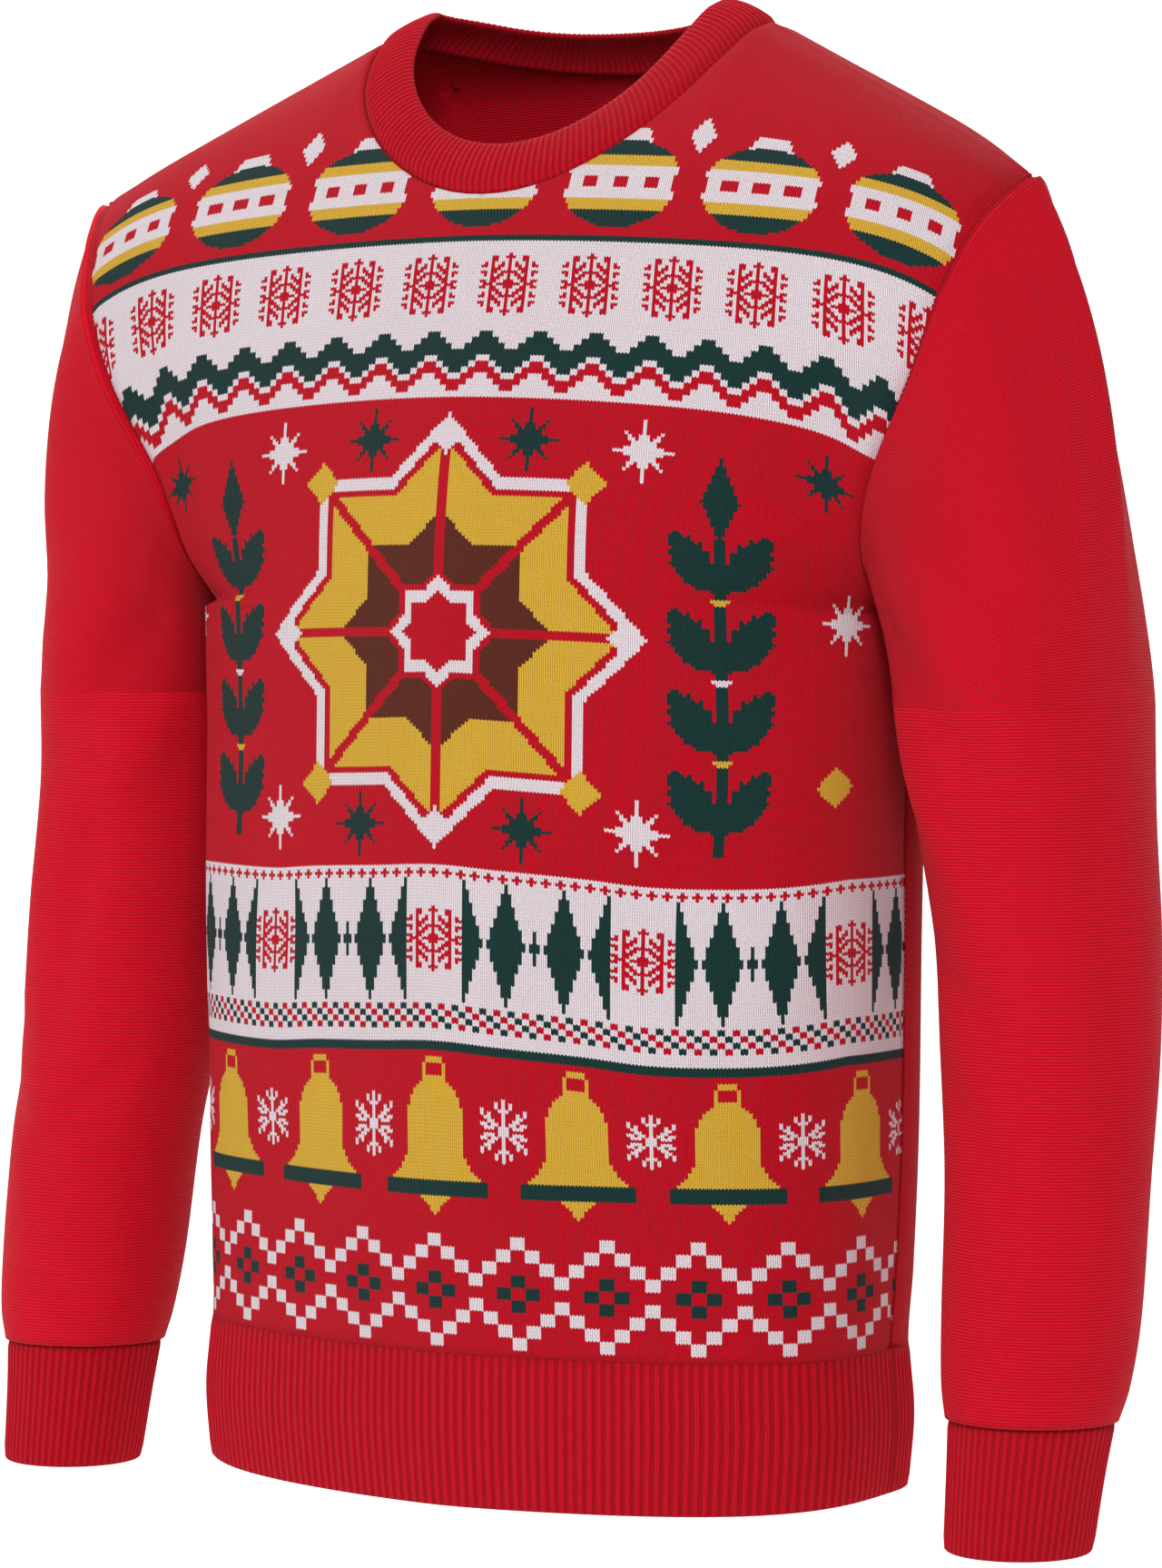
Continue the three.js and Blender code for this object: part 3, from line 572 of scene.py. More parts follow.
def make_sleeve(half, creases, materials):
    levels, turns, edge_normal, fold_normal = sleeve_levels(half)
    rings = len(levels)
    z = levels[:, :, 2]
    bottom = SLEEVE["z"][-1]
    middle = levels.mean(1, keepdims=True)
    out = (levels - middle) * [1, 1, 0]
    out = unit(out)
    degrees = np.repeat(turns[None] * 360, rings, 0)
    from_seam = np.insert(np.cumsum(np.linalg.norm(np.diff(levels, axis=0), axis=2), 0), 0, 0, axis=0)
    fade = smooth((z - bottom) / CREASE_FADE) * smooth((from_seam - 4) / 45)
    clear = smooth((np.abs(degrees - 180) - 22) / 30)
    points = levels + out * (crease_lift(creases, degrees, z, 0.9) * fade * clear)[..., None]
    ids = np.arange(rings * SLEEVE_COLUMNS).reshape(rings, SLEEVE_COLUMNS)
    around = np.roll(ids, -1, 1)
    quads = np.stack([ids[:-1], ids[1:], around[1:], around[:-1]], -1).reshape(-1, 4)
    flat = points.reshape(-1, 3)
    normals = normals_of(flat, quads)
    normals[ids[0]] = edge_normal
    normals[ids[1]] = fold_normal
    inner_side = smooth((np.cos(turns * 2 * np.pi) * -1 - 0.2))
    dip = SEAM_DIP * (1 - smooth(from_seam / SEAM_DIP_WIDTH)) * (1 - 0.8 * inner_side)[None]
    flat = flat - normals * dip.reshape(-1)[:, None]
    girth = np.linalg.norm(np.roll(points, -1, 1) - points, axis=2).sum(1)
    height = from_seam[-1, 0] - from_seam[:, 0]
    side = np.where(turns < 0.5, turns, turns - 1)
    next_side = side + 1 / SLEEVE_COLUMNS
    wide = lambda share, ring: share * girth[ring]
    uv = np.zeros((rings - 1, SLEEVE_COLUMNS, 4, 2))
    for k in range(rings - 1):
        uv[k, :, 0] = np.stack([wide(side, k), np.full(SLEEVE_COLUMNS, height[k])], -1)
        uv[k, :, 1] = np.stack([wide(side, k + 1), np.full(SLEEVE_COLUMNS, height[k + 1])], -1)
        uv[k, :, 2] = np.stack([wide(next_side, k + 1), np.full(SLEEVE_COLUMNS, height[k + 1])], -1)
        uv[k, :, 3] = np.stack([wide(next_side, k), np.full(SLEEVE_COLUMNS, height[k])], -1)
    uv = uv.reshape(-1, 4, 2)
    if half == "right":
        flat = flat * [-1, 1, 1]
        normals = normals * [-1, 1, 1]
        quads = quads[:, ::-1]
        uv = uv[:, ::-1]
    return knit_shell("knit_" + half + "_sleeve", flat, quads, uv, normals, materials)


# Ribbed bands
def band_profile(rows, edge_round):
    """A band's section: its outer face from the seam to the free edge, over that edge and back up inside."""
    outer = [(v, 0.0, 1.0) for v in rows]
    lip = 1.0 + edge_round
    over = [(1.0, -0.25, 0.7), (lip, -0.8, 0.35), (lip, -1.5, 0.0), (1.0, -2.0, -0.7)]
    inner = [(v, -RIB_WALL, -1.0) for v in rows[::-1]]
    return outer[:-1] + over + inner[1:]


def rib_relief(phase, seed):
    """Rounded ribs with narrow grooves, each a little different in height."""
    wave = 0.5 + 0.5 * np.cos(2 * np.pi * (phase - 0.5))
    vary = 0.9 + 0.1 * np.sin(np.floor(phase) * 2.4 + seed)
    return RIB_RELIEF * wave**0.75 * vary


def make_band(name, place, ribs, steps_per_rib, profile, closed, length, seed, material):
    """Sweeps a band's section along its seam. place gives points by share of the seam, depth and lift."""
    steps = ribs * steps_per_rib
    shares = np.arange(steps) / steps if closed else np.linspace(0, 1, steps + 1)
    phase = shares * ribs
    rows = []
    heights = []
    for v, lift, side in profile:
        fade = float(smooth(v * length / 5.0)) if v < 0.5 else 1.0
        relief = rib_relief(phase if side >= 0 else phase + 0.5, seed)
        rows.append(place(shares, v, lift + side * fade * relief))
        heights.append(v * length)
    grid = np.array(rows)
    ids = np.arange(grid.shape[0] * grid.shape[1]).reshape(grid.shape[:2])
    nexts = np.roll(ids, -1, 0)
    if closed:
        across = np.stack([phase, np.append(phase[1:], ribs)], -1)
    else:
        across = np.stack([phase[:-1], phase[1:]], -1)
    if closed:
        right, right_next = np.roll(ids, -1, 1), np.roll(nexts, -1, 1)
        left, left_next = ids, nexts
    else:
        left, left_next, right, right_next = ids[:, :-1], nexts[:, :-1], ids[:, 1:], nexts[:, 1:]
    quads = np.stack([left, right, right_next, left_next], -1)
    heights = np.array(heights)
    next_heights = np.roll(heights, -1)
    uv = np.zeros(quads.shape + (2,))
    for k in range(len(profile)):
        uv[k, :, 0] = np.stack([across[:, 0], np.full(len(across), heights[k])], -1)
        uv[k, :, 1] = np.stack([across[:, 1], np.full(len(across), heights[k])], -1)
        uv[k, :, 2] = np.stack([across[:, 1], np.full(len(across), next_heights[k])], -1)
        uv[k, :, 3] = np.stack([across[:, 0], np.full(len(across), next_heights[k])], -1)
    quads, uv = quads.reshape(-1, 4), uv.reshape(-1, 4, 2)
    if not closed:
        half = len(profile) // 2
        for end, flip in ((0, False), (-1, True)):
            loop = ids[:, end]
            caps = np.array([[loop[k], loop[k + 1], loop[-2 - k], loop[-1 - k]] for k in range(half - 1)])
            quads = np.concatenate([quads, caps[:, ::-1] if not flip else caps])
            uv = np.concatenate([uv, np.tile([[[0.0, 0.0]] * 4], (len(caps), 1, 1))])
    return make_mesh(name, grid.reshape(-1, 3), quads, uv, [material], [0] * len(quads))


def make_hem(name, material):
    side = SIDES[name]
    fine = np.sin(np.linspace(-1, 1, 1201) * np.pi / 2)

    def place(shares, v, lift):
        z = mix(PANEL_BOTTOM_Z - SEAM_GAP / 2, HEM_Z, v)
        row = row_at(side, z=z)
        points = on_row(side, row, fine)
        run = np.insert(np.cumsum(np.linalg.norm(np.diff(points, axis=0), axis=1)), 0, 0)
        share = np.interp(shares * run[-1], run, fine)
        at = on_row(side, row, share)
        across = np.gradient(at, axis=0)
        out = unit(np.stack([across[:, 1], -across[:, 0], np.zeros(len(at))], -1)) * -side["facing"]
        out[0], out[-1] = (-1, 0, 0), (1, 0, 0)
        at = at + out * np.asarray(lift)[:, None]
        at[[0, -1], 1] += side["facing"] * SEAM_GAP / 2
        return at

    profile = band_profile(np.linspace(0, 1, 13), 0.012)
    return make_band("rib_" + name + "_hem", place, HEM_RIBS, 8, profile, False, 62.0, 0.7, material)


def make_cuff(half, material):
    sign = 1 if half == "left" else -1

    def place(shares, v, lift):
        z = mix(CUFF["z"][0] - SEAM_GAP / 2, CUFF["z"][-1], v)
        angle = shares * 2 * np.pi
        out = np.stack([np.cos(angle), -np.sin(angle), np.zeros(len(angle))], -1)
        return (on_sleeve(CUFF, z, shares) + out * np.asarray(lift)[:, None]) * [sign, 1, 1]

    profile = band_profile(np.linspace(0, 1, 12), 0.014)
    return make_band("rib_" + half + "_cuff", place, CUFF_RIBS, 8, profile, True, 54.0, 1.9, material)


def neck_ring():
    """The neck seam all round, from the left shoulder by way of the back."""
    parts = []
    for name, order in (("back", ("left", "right")), ("front", ("right", "left"))):
        panel = panels[name]
        rows = [r for r, row in enumerate(panel["rows"]) if row["up"] >= SIDES[name]["neck_up"] - 1e-9]
        first = panel[order[0]][rows, 0][::-1]
        second = panel[order[1]][rows, 0][1:]
        ids = np.concatenate([first, second])
        at, normal = panel["points"][ids].copy(), panel["normals"][ids]
        at[[0, -1], 1] = SEAM_Y
        parts.append((at, normal))
    at = np.concatenate([parts[0][0], parts[1][0][1:-1]])
    normal = np.concatenate([parts[0][1], parts[1][1][1:-1]])
    return at, unit(normal)


def make_collar(material):
    at, normal = neck_ring()
    _, away = rim_ways(at, normal)
    loop = np.concatenate([at, at[:1]])
    run = np.insert(np.cumsum(np.linalg.norm(np.diff(loop, axis=0), axis=1)), 0, 0)

    def on_seam(values, shares):
        closed = np.concatenate([values, values[:1]])
        return np.stack([np.interp(shares * run[-1], run, closed[:, k]) for k in range(3)], -1)

    def place(shares, v, lift):
        point, out, off = on_seam(at, shares), unit(on_seam(normal, shares)), unit(on_seam(away, shares))
        base = point + off * (SEAM_GAP + 0.1)
        angle = np.arctan2(point[:, 1] - NECK_MIDDLE_Y, point[:, 0])
        sideways = np.cos(angle) ** 2
        middle = np.where(angle < 0, COLLAR_LEAN["front"], COLLAR_LEAN["back"])
        lean = mix(middle, COLLAR_LEAN["side"], sideways)
        inward = np.stack([-np.cos(angle), -np.sin(angle), np.zeros(len(angle))], -1)
        rise = np.sqrt(1 - lean * lean)[:, None]
        up = np.array([0, 0, 1.0])
        upward = inward * lean[:, None] + up * rise
        face = -inward * rise + up * lean[:, None]
        out = unit(mix(out, face, float(smooth(v * 3))))
        crown = COLLAR_CROWN * 4 * v * (1 - v)
        dip = SEAM_DIP * (1 - float(smooth(v * COLLAR_WIDTH / 5)))
        return base + upward * (v * COLLAR_WIDTH) + out * (crown - dip + np.asarray(lift))[:, None]

    profile = band_profile(np.linspace(0, 1, 11), 0.03)
    return make_band("rib_collar", place, COLLAR_RIBS, 8, profile, True, COLLAR_WIDTH, 0.3, material)


# Materials
RED = (0.56, 0.002, 0.015, 1)
# the inside's red, painted lighter than the outside's as painted light where the inside lies in shade
RED_INSIDE_PAINTED_LIGHTER = (0.72, 0.003, 0.02, 1)
WHITE = (0.84, 0.77, 0.80, 1)
GREEN = (0.007, 0.042, 0.038, 1)
YELLOW = (0.74, 0.46, 0.045, 1)
BROWN = (0.115, 0.025, 0.012, 1)
# painted shade between the yarns: colours are multiplied by this where the yarn stands low; its pink lean is
# the red showing between white stitches
SHADE = (0.46, 0.34, 0.38, 1)  # what a yarn's colour is multiplied by between the yarns


class Value:
    """A number worked out by a material's nodes, so that a pattern can be written as a formula."""

    def __init__(self, tree, socket):
        self.tree, self.socket = tree, socket

    def step(self, operation, other=None, swap=False):
        node = self.tree.nodes.new("ShaderNodeMath")
        node.operation = operation
        first, second = (other, self) if swap else (self, other)
        for k, value in enumerate((first, second)):
            if isinstance(value, Value):
                self.tree.links.new(value.socket, node.inputs[k])
            elif value is not None:
                node.inputs[k].default_value = value
        return Value(self.tree, node.outputs[0])

    def __add__(self, other):
        return self.step("ADD", other)

    def __sub__(self, other):
        return self.step("SUBTRACT", other)

    def __rsub__(self, other):
        return self.step("SUBTRACT", other, swap=True)

    def __mul__(self, other):
        return self.step("MULTIPLY", other)

    def __truediv__(self, other):
        return self.step("DIVIDE", other)

    def __pow__(self, other):
        return self.step("POWER", other)

    def __lt__(self, other):
        return self.step("LESS_THAN", other)

    def __gt__(self, other):
        return self.step("GREATER_THAN", other)

    def __and__(self, other):
        return self.step("MULTIPLY", other)

    def __or__(self, other):
        return self.step("MAXIMUM", other)

    def floor(self):
        return self.step("FLOOR")

    def fraction(self):
        return self.step("FRACT")

    def size(self):
        return self.step("ABSOLUTE")

    def at_least(self, other):
        return self.step("MAXIMUM", other)

    def at_most(self, other):
        return self.step("MINIMUM", other)

    def within(self, half):
        """1 where the size is under half."""
        return self.size() < half

    def between(self, low, high):
        return (self > low) & (self < high)

    def repeat(self, period):
        """The distance from the nearest repeat's middle, with its sign."""
        return (self + period / 2).step("FLOORED_MODULO", period) - period / 2


BELL_FLAKE = (
    "#......",
    "#.#....",
    "#.#....",
    "##....#",
    "#...#.#",
    "#...##.",
    "#..##..",
    "#.##.##",
    "##.###.",
    "##.....",
)
BAND_FLAKE = (
    "#........",
    "##..##...",
    "#...##...",
    "#.#..#.#.",
    "#.##.#.##",
    "#..###...",
    "###.##.##",
    "#.##.#.#.",
    "#..###...",
    "##..##.##",
    "####.###.",
)


def chart(x, y, rows):
    """A small motif worked by stitches: rows from its tip down to its middle, columns from its middle out."""
    tree, count, width = x.tree, len(rows), len(rows[0])
    across, up = x.size(), y.size()
    ramp = tree.nodes.new("ShaderNodeValToRGB")
    steps = ramp.color_ramp
    steps.interpolation = "CONSTANT"
    for k, row in enumerate(reversed(rows)):
        code = sum(2**column for column, mark in enumerate(row) if mark == "#") / 4096
        step = steps.elements[k] if k < 2 else steps.elements.new(k / count)
        step.position = k / count
        step.color = (code, code, code, 1)
    tree.links.new(((up + 0.5) / count).socket, ramp.inputs[0])
    code = Value(tree, ramp.outputs[0]) * 4096 + 0.25
    power = across.step("POWER", 2, swap=True)
    worked = (code / power).floor().step("FLOORED_MODULO", 2) > 0.5
    return worked & (across < width - 0.5) & (up < count - 0.5)


STAR_REACH = 14  # millimetres from a star's middle to its tips


def rayed_star(x, y, reach):
    """A star of eight tapered rays, in stitches from its middle."""
    a, b = x.size() * STITCH_WIDE, y.size() * STITCH_HIGH
    slant, off = (a + b) / 1.414, (a - b).size() / 1.414
    rays = (a < 3.4 - b * (3.4 / reach)) | (b < 3.4 - a * (3.4 / reach))
    return rays | (off < 2.9 - slant * (3.4 / reach))


def lattice(x, y):
    """Zigzags of square blocks that cross into diamonds, with a small cross in each."""
    block = ((x + 2) / 4).floor().repeat(6).size()
    row = ((y - 2) / 4).floor()
    inside = row.between(-0.5, 8.5)
    zigzag = ((row - block).within(0.5) | (8 - row - block).within(0.5)) & inside
    off = (row - 4).size()
    cross = (off + block - 1).within(0.5)
    return zigzag & (row - 4).size().step("GREATER_THAN", 0.5), cross


def bells(x, y):
    """A row of bells: gold body, ring and clapper, and a dark band round the mouth."""
    u, v = x.repeat(40).size(), y - 44
    flare = ((19.5 - v) / 9).at_least(0)
    dome = ((v - 29) / 11.5).at_least(0)
    width = (flare**1.6) * 5.2 + 8.6 - (dome**1.7) * 6
    body = (u < width) & v.between(10.5, 40.5)
    hole = (u < 2.4) & (v < 44.8)
    ring = (u < 5.4 - (v - 42).at_least(0) * 0.8) & (u < 3.6) & v.between(40.2, 46.6) & (hole < 0.5)
    clapper = (u < v * 0.85 + 0.3) & (u < 4.4) & v.between(-0.5, 5.5)
    band = (u < 15.6) & v.between(5.5, 10.8)
    return body | ring | clapper, band


def baubles(x, y):
    """A row of round baubles with stripes and a row of squares across the middle."""
    u, v = x.repeat(40.5), y - 377.5
    a = u.size()
    globe = ((u / 16.8) ** 2 + (v / 16.2) ** 2 < 1) & (x.size() < 142)
    gold = v.size().between(5.5, 9.6)
    pale = v.size() < 5.6
    squares = (u.repeat(9).size() < 2.2) & (v.size() < 2.2) & (a < 12)
    notches = (a > 15.2) & (v.size() < 3.2)
    dark = v.size() > 9.6
    cap = (a < 6 - (v - 16) * 0.35) & v.between(14.5, 21)
    chips = (x - 20.25).repeat(40.5)
    chip = (chips.size() * 1.9 + (v - 19).size() < 7.2) & (x.size() < 130)
    pale_all = (globe & pale & ((squares | notches) < 0.5)) | (cap & (globe < 0.5)) | chip
    return pale_all, globe & gold, globe & dark


def upper_band(x, y):
    """A pale band with red snowflakes over a dark stepped zigzag, a red one under it, and a dark edge."""
    v = y - 305
    inside = v.between(-0.5, 53.5)
    valley = ((x / 2).floor() * 2 + 1).repeat(16).size()
    level = (v / 2).floor() * 2 - valley
    dark = level.between(6.5, 14.5) | (v > 51.5)
    red = level.between(0.5, 4.5)
    stars = chart((x - 12).repeat(24), v - 37, BAND_FLAKE)
    return inside, inside & dark, inside & (red | stars)


def lower_band(x, y):
    """A pale band with tall dark diamonds in pairs, red flakes between them and a checked strip below."""
    v = y - 96
    inside = v.between(-0.5, 55.5)
    line = (y - 94).within(1.6)
    u = x.repeat(58)
    pair = (u.size() - 21).size().repeat(12)
    near_pair = (u.size() - 20.5).within(12)
    diamond = ((pair.size() * 3.7 + (v - 32).size()) < 20) & near_pair
    star = chart(u, v - 32, BAND_FLAKE)
    strip = v.between(3.5, 11.5)
    block = ((x / 2).floor() + ((v - 4) / 2).floor()).step("FLOORED_MODULO", 4)
    red_check = strip & (block < 0.5)
    green_check = strip & (block - 2).within(0.5)
    top = v.between(51.5, 54.5) & ((x.repeat(4).size() + (v - 53).size()) < 1.6)
    return inside, (inside & (diamond | green_check)) | line, inside & (star | red_check | top)


def medallion(x, y):
    """A large eight-pointed knitted star with petals, between two upright leafy sprays."""
    a, b = x.size() * (STITCH_WIDE / 1.2), (y - 228).size() * (STITCH_HIGH / 1.2)
    most, least = a.at_least(b), a.at_most(b)
    ring = most.at_most((a + b) / 1.414)
    lines = (least < 1.5) | ((most - least) < 2.6)
    gold = ring.between(32, 50) & (lines < 0.5)
    brown = ring.between(17, 32) & (lines < 0.5)
    outline = ring.between(53, 57)
    pale = ring.between(11, 15) | outline | (ring.between(31, 34) & (lines < 0.5))
    tips = (most - 71).within(5.5) & (((most - 71).size() + least) < 5.5)
    corner = (a - 56).size() + (b - 56).size()
    return gold | (corner < 8), brown, pale | tips


def sprays(x, y):
    """Leafy sprays beside the star: pairs of pointed leaves on a stem, with berries at the joints."""
    u, v = (x.size() - 77) * STITCH_WIDE, (y - 167) * STITCH_HIGH
    a = u.size()
    climb = v.step("FLOORED_MODULO", 34)
    along_leaf = a * 0.6 + climb * 0.8
    off_leaf = (a * 0.8 - climb * 0.6).size()
    reach = (along_leaf - 19) / 17.5
    teeth = (along_leaf / 5).fraction() * 1.8
    width = (1 - reach * reach).at_least(0) * 8.6 + teeth - 1.2
    leaf = (off_leaf < width) & (reach.size() < 1) & v.between(0, 136)
    stem = (a < 1.8) & v.between(-8, 128)
    top = ((v - 146).size() * 0.55 + a * 1.3) < 11
    berry_high = climb - 17
    berry = (a**2 + (berry_high - 17).size() ** 2) < 16
    berries = berry & v.between(8, 130)
    count = (v / 34).floor().step("FLOORED_MODULO", 2)
    return (leaf | stem | top) & (x.size() < 112), berries, count


def sky(x, y):
    """Small stars scattered evenly round the medallion."""
    a = x.size()
    pale = rayed_star(a - 56, y - 289, STAR_REACH) | rayed_star(a - 56, y - 168, STAR_REACH)
    pale = pale | rayed_star(a - 112, y - 236, STAR_REACH)
    dark = rayed_star(a - 24, y - 291, STAR_REACH) | rayed_star(a - 25, y - 165, STAR_REACH)
    dark = dark | rayed_star(a - 104, y - 288, STAR_REACH)
    gold = ((a - 110).size() * 1.2 + (y - 182).size()) < 7
    return pale, dark, gold


def colour_mix(tree, first, second, factor, blend="MIX"):
    """Mixes two colours, each a fixed colour or a socket, by a worked-out number."""
    node = tree.nodes.new("ShaderNodeMix")
    node.data_type = "RGBA"
    node.blend_type = blend
    for socket, value in ((node.inputs[6], first), (node.inputs[7], second)):
        if isinstance(value, tuple):
            socket.default_value = value
        else:
            tree.links.new(value, socket)
    if isinstance(factor, Value):
        tree.links.new(factor.socket, node.inputs[0])
    else:
        node.inputs[0].default_value = factor
    return node.outputs[2]


def stitch_coordinates(tree):
    uv = tree.nodes.new("ShaderNodeUVMap")
    uv.uv_map = "stitches"
    split = tree.nodes.new("ShaderNodeSeparateXYZ")
    tree.links.new(uv.outputs[0], split.inputs[0])
    return Value(tree, split.outputs[0]), Value(tree, split.outputs[1])


def noise(tree, scale, detail=2.0):
    """Soft noise over the piece in its own space, from 0 to 1."""
    place = tree.nodes.new("ShaderNodeTexCoord")
    node = tree.nodes.new("ShaderNodeTexNoise")
    node.inputs["Scale"].default_value = scale
    node.inputs["Detail"].default_value = detail
    tree.links.new(place.outputs["Object"], node.inputs["Vector"])
    return Value(tree, node.outputs[0])


def yarn_surface(colour, height, tree, relief):
    """The finish of soft matt yarn: its colour, its relief and a faint fuzzy sheen."""
    shader = tree.nodes["Principled BSDF"]
    shader.inputs["Roughness"].default_value = 0.9
    shader.inputs["Specular IOR Level"].default_value = 0.14
    shader.inputs["Sheen Weight"].default_value = 0.05
    shader.inputs["Sheen Roughness"].default_value = 0.4
    shader.inputs["Sheen Tint"].default_value = (1.0, 0.6, 0.6, 1)
    tree.links.new(colour, shader.inputs["Base Color"])
    bump = tree.nodes.new("ShaderNodeBump")
    bump.inputs["Strength"].default_value = 1.0
    bump.inputs["Distance"].default_value = relief / 1000
    tree.links.new(height.socket, bump.inputs["Height"])
    tree.links.new(bump.outputs[0], shader.inputs["Normal"])


def new_material(name):
    material = bpy.data.materials.new(name)
    material.use_nodes = True
    return material, material.node_tree


def knit_legs(across, up):
    """The two legs of each knitted V: how high the yarn stands, and the stitch's column and row numbers."""
    wale = (across + 0.5).floor()
    slope = (across + 0.5 - wale - 0.5).size()
    climb = up - slope * 1.1
    course = climb.floor()
    leg = (slope - 0.25) * 4
    swell = (climb - course - 0.5) * 2
    height = (1 - leg * leg * 0.85) * (1 - swell * swell * 0.45)
    return height, wale, course


def yarn_colour(tree, colour, height):
    """Painted shade between the yarns: darker where the yarn stands low, a little pink there as the red shows
    through, and a little uneven from place to place and from fibre to fibre.
    """
    uneven = noise(tree, 18.0) * 0.12 + noise(tree, 900.0) * 0.2
    # painted shade: light falls with the yarn's height into the hollows between stitches, plus random
    # unevenness, and the shaded colour is mixed in there
    light = (height * 0.95 + uneven - 0.08).at_least(0.0).at_most(1.0)
    deep = colour_mix(tree, colour, SHADE, 1.0, "MULTIPLY")
    return colour_mix(tree, deep, colour, light)


def plain_knit():
    material, tree = new_material("red plain knitting")
    u, v = stitch_coordinates(tree)
    height, _, _ = knit_legs(u / STITCH_WIDE, v / STITCH_HIGH)
    yarn_surface(yarn_colour(tree, RED, height), height, tree, 0.42)
    return material


def purl_inside():
    """The wrong side of the knitting: staggered rows of small bumps with painted shade between them, in a red
    painted lighter than the outside's as painted light on the shaded inside.
    """
    material, tree = new_material("red purl inside")
    u, v = stitch_coordinates(tree)
    row = (v / STITCH_HIGH).floor()
    ridge = ((v / STITCH_HIGH - row) - 0.5).size() * 2
    shift = (u / STITCH_WIDE + row * 0.5).repeat(1).size() * 2
    height = (1 - ridge * ridge) * (1 - shift * 0.5)
    yarn_surface(yarn_colour(tree, RED_INSIDE_PAINTED_LIGHTER, height), height, tree, 0.4)
    return material


def rib_knit():
    """Ribbing: a knitted column on each rib and a shaded purl groove between ribs."""
    material, tree = new_material("red ribbing")
    u, v = stitch_coordinates(tree)
    across = (u - u.floor() - 0.5) * 2
    slope = across.size()
    climb = v / STITCH_HIGH - slope.at_most(0.5) * 1.1
    leg = (slope - 0.26) * 3.6
    swell = (climb.fraction() - 0.5) * 2
    legs = (1 - leg * leg).at_least(0) * (1 - swell * swell * 0.4)
    height = legs * 0.85 + (0.62 - slope).at_least(0) * 0.25
    yarn_surface(yarn_colour(tree, RED, height + 0.12), height, tree, 0.4)
    return material


def patterned_knit():
    """The front's colour pattern, one yarn colour to each stitch, red wherever nothing else is."""
    material, tree = new_material("patterned knitting")
    u, v = stitch_coordinates(tree)
    height, x, y = knit_legs(u / STITCH_WIDE, v / STITCH_HIGH)
    zigzag, crosses = lattice(x, y)
    gold_bells, bell_bands = bells(x, y)
    flakes = chart((x - 20).repeat(40), y - 70, BELL_FLAKE)
    low_pale, low_dark, low_red = lower_band(x, y)
    high_pale, high_dark, high_red = upper_band(x, y)
    ball_pale, ball_gold, ball_dark = baubles(x, y)
    star_gold, star_brown, star_pale = medallion(x, y)
    leaves, berries, berry_count = sprays(x, y)
    sky_pale, sky_dark, sky_gold = sky(x, y)
    middle = y.between(151.5, 302.5)
    middle_pale = star_pale | sky_pale | (berries & berry_count)
    middle_dark = (leaves & (berries < 0.5)) | sky_dark
    pale = zigzag | flakes | low_pale | high_pale | ball_pale | (middle & middle_pale)
    dark = crosses | bell_bands | low_dark | high_dark | ball_dark | (middle & middle_dark)
    gold_berries = berries & (berry_count < 0.5)
    gold = gold_bells | ball_gold | (middle & (star_gold | sky_gold | gold_berries))
    colour = colour_mix(tree, RED, WHITE, pale)
    colour = colour_mix(tree, colour, BROWN, star_brown & middle)
    colour = colour_mix(tree, colour, YELLOW, gold)
    colour = colour_mix(tree, colour, GREEN, dark)
    colour = colour_mix(tree, colour, RED, low_red | high_red)
    yarn_surface(yarn_colour(tree, colour, height), height, tree, 0.42)
    return material


def seam_yarn():
    material, tree = new_material("red linking yarn")
    fibres = noise(tree, 1400.0)
    yarn_surface(yarn_colour(tree, RED, fibres * 0.4), fibres, tree, 0.15)
    return material


